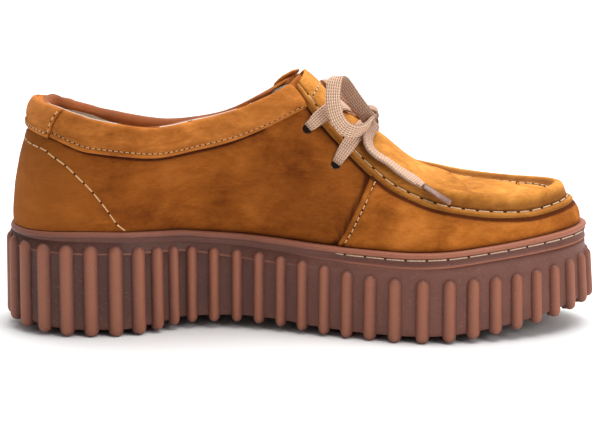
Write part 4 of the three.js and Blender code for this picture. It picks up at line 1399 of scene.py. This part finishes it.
def crease(x, z, points):
    """Soft troughs (below 0) and ridges: centre, half length, half width, angle and depth of each."""
    total = 0.0
    for cx, cz, length, width, angle, depth in points:
        c, s = math.cos(math.radians(angle)), math.sin(math.radians(angle))
        a = ((x - cx) * c + (z - cz) * s) / length
        b = (-(x - cx) * s + (z - cz) * c) / width
        total += depth * math.exp(-(a * a + b * b))
    return total


QUARTER_CREASES = (
    (-45, 64, 34, 7, 6, -0.7),
    (-20, 71, 26, 6, -12, 0.6),
    (4, 62, 22, 6, 32, -0.8),
    (-66, 57, 24, 6, -8, 0.6),
    (-112, 66, 14, 10, 70, -0.5),
    (-8, 84, 16, 5, 24, 0.5),
    (12, 52, 15, 5, -18, 0.5),
)
VAMP_CREASES = (
    (46, 53, 18, 5, -20, -0.8),
    (60, 50, 18, 4.5, 14, 0.6),
    (84, 50, 18, 5, -8, -0.5),
    (104, 53, 12, 5, 10, 0.5),
    (38, 62, 12, 4, -38, 0.5),
)


class SHOE_OT_upper(bpy.types.Operator):
    """Upper: lined quarters with lace holes, and the vamp sewn over them"""

    bl_idname = "shoe.upper"
    bl_label = "Upper"

    def execute(self, context):
        leather = nubuck("quarter nubuck", look().quarter)
        lining = textile("lining cloth", look().lining)
        self.seams = {side: side_line(SIDE_SEAM, side, 60) for side in (INNER, OUTER)}
        self.holes = {INNER: [], OUTER: []}
        for v, side, t in each_eyelet():
            self.holes[side].append(LAST.point(v, side, t))
        places = round_places(np.linspace(0, 1, 231))
        upper = draped("quarters", places, self.quarter_rows, leather, WALL_THICKNESS, lining)
        self.punch(upper)
        mounted(upper, "nubuck", "upper")
        mounted(self.vamp(nubuck("vamp nubuck", look().vamp)), "nubuck")
        return {"FINISHED"}

    def quarter_rows(self, v, side):
        """Share, depth and shade up the quarters, and on under the apron."""
        long = LAST.length(v, side)
        under_collar = smooth(THROAT + 0.004, THROAT - 0.01, v)
        edge = edge_of(v, side) - (1.2 + collar_drop(v, side)) / long * under_collar
        seam = self.seams[side][::-1]
        rows_up = []
        for k in range(45):
            t = edge * k / 44
            p = LAST.point(v, side, t)
            depth = crease(p[0], p[2], QUARTER_CREASES) if k else 0.0
            depth += 0.25 * noise.noise(Vector((p[0] / 17, p[1] / 17, p[2] / 11)))
            # Painted shade at the foot by the welt, under the band and the apron's edge, and in a thin line
            # behind the vamp's side seam; paler round the lace holes with wear, and paler towards the heel
            shade = -0.5 * bell(t * long, 0, 2.2) + self.hole_shade(p, side)
            shade += under_shade(v, side, t, 0.3, 1.5, 3.6)
            shade += 0.75 * smooth(-62, -122, p[0])
            shade -= 0.8 * bell(v, np.interp(t, seam[:, 1], seam[:, 0]) - 0.002, 0.004)
            rows_up.append((t, depth * smooth(0, 4, t * long), shade))
        if v <= THROAT:
            return rows_up + [(edge, 0.0, 0.0)] * 12
        return rows_up + [(mix(edge, 1, k / 12), -1.7 * smooth(0, 3, k), 0.0) for k in range(1, 13)]

    def hole_shade(self, point, side):
        """Worn edges round the lace holes."""
        return sum(0.35 * bell(np.linalg.norm(point - hole), 3.1, 0.8) for hole in self.holes[side])

    def punch(self, upper):
        """Lace holes, cut clean through."""
        for v, side, t in each_eyelet():
            cutter = fresh(bpy.ops.mesh.primitive_cylinder_add, vertices=32, radius=HOLE_RADIUS * MM,
                           depth=14 * MM)
            stood(cutter, *LAST.spot(v, side, t, 0))
            modified(upper, "BOOLEAN", object=cutter, operation="DIFFERENCE", solver="FAST")
            bpy.data.objects.remove(cutter)

    def vamp(self, finish):
        """The front piece, from the side seams round the toe, up to under the apron."""
        across, tall = 150, 42
        seams = {side: side_line(SIDE_SEAM, side, 40)[::-1] for side in (INNER, OUTER)}
        columns = []
        for column in range(2 * across + 1):
            side = INNER if column <= across else OUTER
            forward = (1 - abs(column - across) / across) ** 1.25
            columns.append([self.vamp_spot(seams[side], forward, side, k / tall) for k in range(tall + 1)])
        obj = over_last("vamp", columns, strip_faces(len(columns), tall + 1, flip=True), finish)
        return thickened(merged(obj), 0.9)

    def vamp_spot(self, seam, forward, side, up):
        """A place a share of the way from the side seam to the toe, with its depth and shade."""
        low, high = seam[0, 1], seam[-1, 1]
        seam_v = float(np.interp(up, (seam[:, 1] - low) / (high - low), seam[:, 0]))
        v = mix(seam_v, 1, forward)
        long = LAST.length(v, side)
        t = up * (apron_at(v, side) + 2.5 / long)
        p = LAST.point(v, side, t)
        back = np.linalg.norm(p - LAST.point(seam_v, side, t))
        depth = 0.25 + 0.85 * smooth(0, 0.9, back) + crease(p[0], p[2], VAMP_CREASES) * smooth(0, 5, t * 60)
        depth -= 0.28 * bell(back, 2.9, 0.7)
        # Painted shade in the stitch groove behind the side seam, at the foot by the welt and under the
        # apron's edge
        shade = -0.1 * bell(back, 1.4, 1.4) - 0.5 * bell(back, 2.9, 0.7) - 0.5 * bell(t * long, 0, 1.8)
        return v, side, t, depth, shade + under_shade(v, side, t, 0.25, 1.4, 3.0)


def under_shade(v, side, t, soft, place, width):
    """Darker just below the band and beside the apron's edge."""
    low = band_at(v, side) if v < THROAT else apron_at(v, side)
    under = (low - t) * LAST.length(v, side)
    return -1.4 * bell(under, 0.2, 0.9) - soft * bell(under, place, width)


PLUG_CREASES = (
    (76.5, -6, 19, 3.2, -71, -1.2),
    (71.0, -4, 19, 3.4, -71, 1.3),
    (88, -4, 14, 3.0, -62, -0.7),
    (94, -2, 14, 3.2, -60, 0.5),
    (62, -6, 13, 4.0, -78, 0.5),
)
EASED_RADIUS = 6.5
# Lengths in from the apron's cut edge, close together at its grooves
APRON_STEPS = np.array([0, 0.25, 0.6, 1.1, 1.8, 2.6, 3.1, 3.4, 3.7, 4.0, 4.3, 4.8, 5.5, 6.3, 7.1, 7.9, 8.7,
                        9.5, 10.4, 11.3, 12.2, 12.8, 13.2, 13.6, 14.0, 14.5, 15.5])


class SHOE_OT_apron(bpy.types.Operator):
    """Apron: tongue and dished plug in one, with a stitched margin and a rolled rim round the toe"""

    bl_idname = "shoe.apron"
    bl_label = "Apron"

    def execute(self, context):
        leather = nubuck("apron nubuck", look().apron)
        columns = []
        for v in np.linspace(THROAT + 0.0052, 1, 190):
            far = OUTER if v < 1 else INNER
            column = [(v, INNER, *row) for row in self.rows(v, INNER)]
            columns.append(column + [(v, far, *row) for row in self.rows(v, far)[::-1][1:]])
        faces = strip_faces(len(columns), len(columns[0]), flip=True)
        obj = merged(over_last("apron_leather", columns, faces, leather), 0.15)
        self.eased(obj, LAST.point(1, INNER, 1), EASED_RADIUS)
        mounted(thickened(obj, APRON_THICKNESS), "nubuck", "apron")
        return {"FINISHED"}

    def eased(self, obj, centre, radius):
        """Lays the surface evenly over the point where the stations meet."""
        places = np.array([vertex.co for vertex in obj.data.vertices]) / MM
        x, y = (places[:, :2] - centre[:2]).T
        far = np.hypot(x, y)
        terms = np.stack([np.ones(len(far)), x, y, x * x, x * y, y * y], 1)
        around = (far > radius) & (far < radius * 1.4)
        fit = np.linalg.lstsq(terms[around], places[around, 2], rcond=None)[0]
        for index in np.flatnonzero(far < radius * 1.25):
            inside = smooth(radius * 1.25, radius, far[index])
            obj.data.vertices[index].co.z = mix(places[index, 2], terms[index] @ fit, inside) * MM

    def rows(self, v, side):
        """Share, depth and shade from the apron's cut edge in to the crown."""
        high = apron_at(v, side)
        long = LAST.length(v, side)
        reach = (1 - high) * long
        steps = APRON_STEPS * min(1, reach * 0.62 / APRON_STEPS[-1])
        steps = [*steps, *np.linspace(steps[-1], reach, 16)[1:]]
        places = [(min(1.0, high + s / long), s) for s in steps]
        return [(t, *self.relief(v, side, t, s)) for t, s in places]

    def relief(self, v, side, t, s):
        """Depth and shade at a length s in from the cut edge: margin, groove, rim, inner groove and plug."""
        at = share(v)
        toe = smooth(0.57, 0.75, at)
        x, y, _ = LAST.point(v, side, t)
        around = math.atan2(y + TOE_DRIFT, x - RIM_CENTRE) * RIM_RADIUS
        pucker = math.cos(around * 2 * math.pi / PUCKER_PITCH)
        groove = bell(s, 3.7, 0.5)
        inner_groove = bell(s, 13.8, 0.7) * toe
        depth = ON_APRON * smooth(-0.25, 1.2, s) + 0.3 * bell(s, 2.0, 1.0) - 0.75 * groove
        depth += RIM_HEIGHT * toe * smooth(3.7, 8.8, s) ** 0.8 * (1 - smooth(10.2, 13.6, s))
        depth -= 0.28 * toe * pucker * bell(s, 5.6, 1.7)
        depth -= 0.5 * inner_groove + 0.8 * toe * smooth(12.5, 16, s)
        depth += crease(x, y, PLUG_CREASES) * toe * smooth(12.6, 18, s)
        # Painted shade in both grooves, on the near rim's face and the far rim's inner wall, a painted shadow
        # of the lace on the tongue's flanks, a painted highlight on the rim's crest; darker too along the
        # margin by the cut edge
        shade = -0.55 * bell(s, 0.8, 1.7) - 0.85 * groove - 0.9 * inner_groove
        shade -= 0.6 * bell(s, 8.0, 4.5) * (1 - smooth(0.56, 0.66, at)) * smooth(0.46, 0.5, at)
        shade += toe * (0.35 * bell(s, 9.4, 1.2) - 0.75 * bell(s, 12.0, 1.3) - 0.6 * bell(s, 5.2, 2.2))
        return depth * (0.5 + 0.5 * smooth(-0.002, 0.006, v - THROAT)), shade


# Lengths up the band from its lower edge, close together at its groove, and the height they go up to
BAND_STEPS = (0, 0.25, 0.6, 1.1, 1.7, 2.1, 2.4, 2.7, 3.2, 4.0, 5, 6, 7, 8, 9, 10, 11, 12, 13, 14)
BAND_TALL = 14
BAND_EDGE = 3.2
# Over the band's top and down inside: length past the top, and depth
BAND_OVER = ((0.5, 1.6), (0.85, 0.9), (0.95, 0.0), (0.85, -0.9), (0.4, -1.7), (-0.6, -2.0))
# Length along the collar for all stations, near enough
STATIONS_LENGTH = 360
# From the heel tab's edges in to its stitches
SEAM_IN = 2.2


def band_foot(v):
    """How much higher the band starts at the heel's back."""
    return 1.8 * (1 - smooth(0.0, 0.09, v))


def band_rows(v, side):
    """Depth and shade up the collar band, and over its top into the shoe."""
    long = LAST.length(v, side)
    low = band_at(v, side) + band_foot(v) / long
    top = edge_of(v, side) - collar_drop(v, side) / long
    tall = max((top - low) * long, 0.8)
    small = min(1.0, tall / 6)
    result = []
    for s in BAND_STEPS:
        u = s / BAND_TALL
        above = max(0.0, s - BAND_EDGE) / (BAND_TALL - BAND_EDGE)
        length = min(s, BAND_EDGE) * small + above * (tall - BAND_EDGE * small)
        groove = bell(s, 2.4, 0.45)
        pad = math.sin(math.pi * min(1, (u - 0.17) / 0.95)) ** 0.8 if u > 0.17 else 0
        depth = small * (1.55 * smooth(-0.2, 1.0, s) - 0.6 * groove + 1.35 * pad) + GAP * 0.5
        # Painted highlights on the rounded lower edge and the top, painted shade in the stitch groove and
        # just above it
        shade = 0.25 * bell(s, 0.4, 0.5) - 0.6 * groove + 0.2 * bell(u, 0.97, 0.1) - 0.3 * bell(s, 4.2, 1.2)
        result.append((low + length / long, depth, shade))
    if v <= THROAT:
        return result + [(top + extra / long, depth, 0.1) for extra, depth in BAND_OVER]
    return result + [(result[-1][0], 0.3, 0.0)] * len(BAND_OVER)


def tab_fronts():
    """For each side, the station of the heel tab's front edge over its share of height."""
    return {side: side_line(TAB_FRONT, side, 30)[:, 0] for side in (INNER, OUTER)}


def tab_front(fronts, side, u):
    return np.interp(u, np.linspace(0, 1, len(fronts[side])), fronts[side])


def tab_place(v, side, u, front):
    """A place on the heel tab: share of the last, depth and shade. front is the station of its edge."""
    long = LAST.length(v, side)
    low = band_at(v, side) + (band_foot(v) - 1.0) / long
    top = collar_at(v, side) + (0.6 - collar_drop(v, side)) / long
    t = mix(low, top, u)
    below = band_rows(v, side)[: len(BAND_STEPS)]
    under = np.interp(t, [row[0] for row in below], [row[1] for row in below])
    from_low = (t - low) * long
    from_front = (front - v) * STATIONS_LENGTH
    near = min(from_low, from_front)
    edge = min(smooth(-0.2, 0.9, from_low), smooth(-0.2, 0.9, from_front))
    groove = max(bell(from_low, SEAM_IN, 0.45), bell(from_front, SEAM_IN, 0.45))
    depth = max(under, 1.4) + 1.3 * edge - 0.4 * groove - 1.2 * smooth(0.9, 1.03, u)
    # Paler over the whole tab, a painted highlight just in from its rounded edges, painted shade in the
    # stitch groove and a painted shadow along its cut edges
    shade = 0.4 + 0.2 * edge * (1 - smooth(0.9, 1.6, near)) - 0.8 * groove - 1.3 * bell(near, 0, 0.45)
    return t, depth, shade


# The roll's section: length down from the collar's line, and depth
ROLL_SECTION = ((1.2, -0.4), (0.2, -0.4), (-0.6, -1.0), (-1.0, -2.3), (-1.0, -4.1), (-0.5, -5.2), (0.6, -6.1),
                (2.2, -6.7), (4.0, -6.8), (5.8, -6.5), (7.4, -5.8), (8.8, -4.7), (9.6, -3.7), (10, -2.8),
                (6, -2.7), (3, -2.7))
ROLL_END = 0.4185


class SHOE_OT_collar(bpy.types.Operator):
    """Collar: padded band, heel tab and the rolled lining leather"""

    bl_idname = "shoe.collar"
    bl_label = "Collar"

    def execute(self, context):
        leather = nubuck("band nubuck", look().band)
        band_places = round_places(np.linspace(0, BAND_STOP, 150))
        mounted(draped("collar_band_leather", band_places, band_rows, leather, 1.2), "nubuck", "collar_band")
        mounted(self.tab(leather), "nubuck", "heel_tab")
        mounted(self.binding(textile("collar binding", tint(look().lining, 0.75))), "nubuck")
        mounted(self.corner(leather), "nubuck")
        roll = self.roll(smooth_leather("collar leather", look().roll))
        mounted(roll, "collar_leather", "collar_roll")
        return {"FINISHED"}

    def tab(self, finish):
        """Heel piece over the band, with slanting front edges."""
        across, tall = 34, 22
        fronts = tab_fronts()
        columns = []
        for k in range(-across, across + 1):
            side = INNER if k < 0 else OUTER
            ups = [(row / tall, tab_front(fronts, side, row / tall)) for row in range(tall + 1)]
            column = [(abs(k) / across * front, u, front) for u, front in ups]
            columns.append([(v, side, *tab_place(v, side, u, front)) for v, u, front in column])
        tab = over_last("heel_tab_leather", columns, strip_faces(len(columns), tall + 1), finish)
        return thickened(merged(tab), 1.1)

    def binding(self, finish):
        """Pale edge of the lining along the inner side's collar."""
        places = np.linspace(0.07, 0.405, 110)
        spots = []
        for v in places:
            long = LAST.length(v, INNER)
            top = collar_at(v, INNER) - collar_drop(v, INNER) / long
            up = mix(1.0, 0.68, smooth(0.24, 0.32, v))
            for a in np.linspace(0, 2 * math.pi, 9)[:-1]:
                t = top + (up + 0.4 * math.sin(a)) / long
                spots.append((v, INNER, t, -1.5 + 0.7 * math.cos(a), 0))
        return outward(over_last("collar_binding", [spots], ring_faces(len(places), 8), finish))

    def corner(self, finish):
        """The far quarter's front corner, standing up beside the tongue."""
        columns = []
        for v in np.linspace(0.4185, 0.4268, 20):
            long = LAST.length(v, OUTER)
            rise = 4.0 * smooth(0.4183, 0.4208, v) - 1.6 * smooth(0.4238, 0.4268, v)
            low, high = (collar_at(v, OUTER) + up / long for up in (-9, rise - 0.8))
            dark = 0.5 * bell(v, 0.4225, 0.002)
            columns.append([(v, OUTER, mix(low, high, u), 1.6 + 0.6 * math.sin(u * math.pi),
                             0.3 * bell(u, 1, 0.06) - dark) for u in np.linspace(0, 1, 14)])
        faces = strip_faces(len(columns), len(columns[0]), flip=True)
        return thickened(over_last("far_corner", columns, faces, finish), 1.6)

    def roll(self, finish):
        """Padded roll inside the collar, closed at both ends."""
        rings = []
        for v, side in round_places(np.linspace(0, ROLL_END, 100)):
            long = LAST.length(v, side)
            thin = mix(0.5, 1, smooth(ROLL_END, 0.37, v))
            lift, squat = 0.0, 0.62
            if side == OUTER:
                lift = 1.05 * smooth(0.0, 0.06, v) * smooth(ROLL_END, 0.408, v) + 1.9 * bell(v, 0.07, 0.05)
                squat = 0.46 - 0.24 * smooth(0.0, 0.07, v) * smooth(0.27, 0.2, v)
            ring = []
            for down, depth in ROLL_SECTION:
                height = down * squat if down > 0 else down
                t = collar_at(v, side) - (height + collar_drop(v, side) - lift * (1 - down / 10)) / long
                # Painted shade on the part of the roll that turns down inside the shoe
                ring.append((v, side, t, -1.9 + (depth + 1.9) * thin, -0.8 * smooth(7.5, 10, down)))
            rings.append(ring)
        faces = ring_faces(len(rings), len(ROLL_SECTION))
        return outward(over_last("collar_roll_leather", rings, faces, finish))


# The footbed's edge: height over the seat, and how far in
FOOTBED_SECTION = ((0, 0), (2.0, 0), (3.6, 0), (4.3, 0.5), (4.5, 1.3))


class SHOE_OT_footbed(bpy.types.Operator):
    """Footbed inside the shoe"""

    bl_idname = "shoe.footbed"
    bl_label = "Footbed"

    def execute(self, context):
        finish = smooth_leather("footbed", (0.55, 0.4, 0.28))
        places = round_sole(200)
        points = []
        for up, shrink in FOOTBED_SECTION:
            inside = -WALL_THICKNESS - 1.1 - shrink
            for v, side in places:
                x, y, _ = LAST.raised(v, side, max(up, 0.01) / LAST.length(v, side), inside)
                points.append((x, y, seat_z(x) + up))
        faces = ring_faces(len(FOOTBED_SECTION), len(places))
        footbed = new_object("footbed", points, faces, finish, [0.0] * len(points))
        mounted(outward(footbed), "footbed", "insole")
        return {"FINISHED"}


class SHOE_OT_stitching(bpy.types.Operator):
    """Stitching on all leather pieces"""

    bl_idname = "shoe.stitching"
    bl_label = "Stitching"

    def execute(self, context):
        cotton = thread("thread", look().thread)
        pale = thread("moc thread", mix(np.array(look().thread), np.array((0.8, 0.66, 0.45)), 0.5))
        holes = pierced("needle hole", (0.03, 0.012, 0.006))
        band = self.above(band_at, round_places(np.linspace(0, BAND_STOP - 0.004, 160)), 2.4, 1.25)
        moc = self.above(apron_at, over_toe(THROAT + 0.02, 240), look().margin / MM, ON_APRON - 0.55)
        rim = self.above(apron_at, over_toe(station_at(0.74), 160), 13.6, ON_APRON - 0.2)
        rows = (
            ("seam", [self.seam_line(side) for side in (INNER, OUTER)], 2.9, 2.1, 0.33, cotton),
            ("counter", [self.counter_line(side) for side in (INNER, OUTER)], 5.8, 4.9, 0.38, cotton),
            ("band", [band], 2.6, 1.9, 0.33, cotton),
            ("tab", self.tab_lines(), 2.6, 1.9, 0.33, cotton),
            ("apron", [moc], 6.6, 5.2, 0.46, pale),
            ("rim", [rim], 4.4, 3.4, 0.42, pale),
            ("tongue", [self.tongue_line()], 3.0, 2.2, 0.32, pale),
        )
        for name, lines, gauge, length, radius, finish in rows:
            mounted(stitch_row(f"{name}_stitches", lines, gauge, length, radius, finish, holes), "nubuck")
        return {"FINISHED"}

    def above(self, line, places, length, depth):
        """A row at a length above a line of the wall."""
        row = []
        for v, side in places:
            row.append(LAST.spot(v, side, line(v, side) + length / LAST.length(v, side), depth))
        return row

    def seam_line(self, side):
        """The row on the vamp, a length in front of the side seam."""
        result = []
        for v, t in side_line(SIDE_SEAM, side, 60)[8:-2]:
            step = 2.9 / np.linalg.norm(LAST.point(v + 0.01, side, t) - LAST.point(v, side, t)) * 0.01
            result.append(LAST.spot(v + step, side, t, 0.95))
        return result

    def counter_line(self, side):
        """The arched row of the heel counter."""
        return [LAST.spot(v, side, t, 0.1) for v, t in side_line(COUNTER_LINE, side, 90)]

    def tab_lines(self):
        """Rows along the heel tab's lower edge and both front edges."""
        below, edges = [], []
        fronts = tab_fronts()
        for side in (INNER, OUTER):
            foot = fronts[side][0]
            part = [self.on_tab(v, side, SEAM_IN / 18, foot, 0.1) for v in np.linspace(0, foot - 0.008, 30)]
            below = part[::-1] if side == INNER else below + part[1:]
            edge = []
            for u in np.linspace(0.14, 0.9, 20):
                front = tab_front(fronts, side, u)
                edge.append(self.on_tab(front - SEAM_IN / STATIONS_LENGTH, side, u, front, 0.4))
            edges.append(edge)
        return [below, *edges]

    def on_tab(self, v, side, u, front, above):
        t, depth, _ = tab_place(v, side, u, front)
        return LAST.spot(v, side, t, depth + above)

    def tongue_line(self):
        """Cross row below the tongue's top."""
        row = []
        v = THROAT + 0.028
        for side, shares in ((INNER, np.linspace(0, 1, 24)), (OUTER, np.linspace(1, 0, 24)[1:])):
            low = apron_at(v, side) + 5.5 / LAST.length(v, side)
            row += [LAST.spot(v, side, mix(low, 1, a), ON_APRON + 0.05) for a in shares]
        return row


# Stage

CAMERA_PLACE = (0.0, -1.0, 0.253)
CAMERA_AIM = (0.0, 0.0, 0.0522)
LENS = 128.5


class SHOE_OT_stage(bpy.types.Operator):
    """Stage: white floor, soft lights and a white world"""

    bl_idname = "shoe.stage"
    bl_label = "Stage"

    def execute(self, context):
        self.floor()
        self.light("top", (0.1, 0.15, 1.05), (0.0, 0.05, 0.0), (1.3, 0.8), 17.0)
        self.light("back", (0.0, 2.3, 1.7), (0.0, 2.3, 0.0), (4.5, 2.2), 70.0)
        self.light("front", (0.8, -0.8, 0.6), (0.03, 0.0, 0.05), (0.5, 0.5), 4.0)
        world = bpy.data.worlds.new("studio")
        world.use_nodes = True
        world.node_tree.nodes["Background"].inputs["Color"].default_value = (1, 1, 1, 1)
        world.node_tree.nodes["Background"].inputs["Strength"].default_value = 0.32
        context.scene.world = world
        context.scene.view_settings.view_transform = "Standard"
        return {"FINISHED"}

    def floor(self):
        floor = fresh(bpy.ops.mesh.primitive_plane_add, size=8)
        floor.name = "floor"
        floor.data.materials.append(Finish("white floor").done((0.93, 0.93, 0.93, 1), 0.9))

    def light(self, name, place, aim, size, power):
        data = bpy.data.lights.new(name, "AREA")
        data.shape = "RECTANGLE"
        data.size, data.size_y = size
        data.energy = power
        lamp = bpy.data.objects.new(name, data)
        lamp.location = place
        lamp.rotation_euler = (Vector(aim) - Vector(place)).to_track_quat("-Z", "Y").to_euler()
        bpy.context.scene.collection.objects.link(lamp)


class SHOE_OT_camera(bpy.types.Operator):
    """Camera at the photograph's viewing angle"""

    bl_idname = "shoe.camera"
    bl_label = "Camera"

    def execute(self, context):
        data = bpy.data.cameras.new("camera")
        data.lens = LENS
        data.sensor_width = 36
        camera = bpy.data.objects.new("camera", data)
        camera.location = CAMERA_PLACE
        direction = Vector(CAMERA_AIM) - Vector(CAMERA_PLACE)
        camera.rotation_euler = direction.to_track_quat("-Z", "Y").to_euler()
        context.scene.collection.objects.link(camera)
        context.scene.camera = camera
        return {"FINISHED"}


class SHOE_PT_panel(bpy.types.Panel):
    """Lists the shoe's pieces"""

    bl_label = "Shoe"
    bl_space_type = "VIEW_3D"
    bl_region_type = "UI"
    bl_category = "Shoe"

    def draw(self, context):
        for name in ShoeLook.__annotations__:
            self.layout.prop(context.scene.shoe_look, name)
        for operator in STEPS:
            self.layout.operator(operator.bl_idname)


STEPS = (
    SHOE_OT_camera,
    SHOE_OT_laces,
    SHOE_OT_outsole,
    SHOE_OT_welt,
    SHOE_OT_upper,
    SHOE_OT_apron,
    SHOE_OT_collar,
    SHOE_OT_footbed,
    SHOE_OT_stitching,
    SHOE_OT_stage,
)


def register():
    for cls in (ShoeLook, *STEPS, SHOE_PT_panel):
        bpy.utils.register_class(cls)
    bpy.types.Scene.shoe_look = bpy.props.PointerProperty(type=ShoeLook)


def unregister():
    del bpy.types.Scene.shoe_look
    for cls in (SHOE_PT_panel, *STEPS[::-1], ShoeLook):
        bpy.utils.unregister_class(cls)


def main():
    register()
    bpy.ops.object.select_all(action="DESELECT")
    bpy.ops.shoe.camera()
    bpy.ops.shoe.laces()
    bpy.ops.shoe.outsole()
    bpy.ops.shoe.welt()
    bpy.ops.shoe.upper()
    bpy.ops.shoe.apron()
    bpy.ops.shoe.collar()
    bpy.ops.shoe.footbed()
    bpy.ops.shoe.stitching()
    bpy.ops.shoe.stage()


if __name__ == "__main__":
    main()
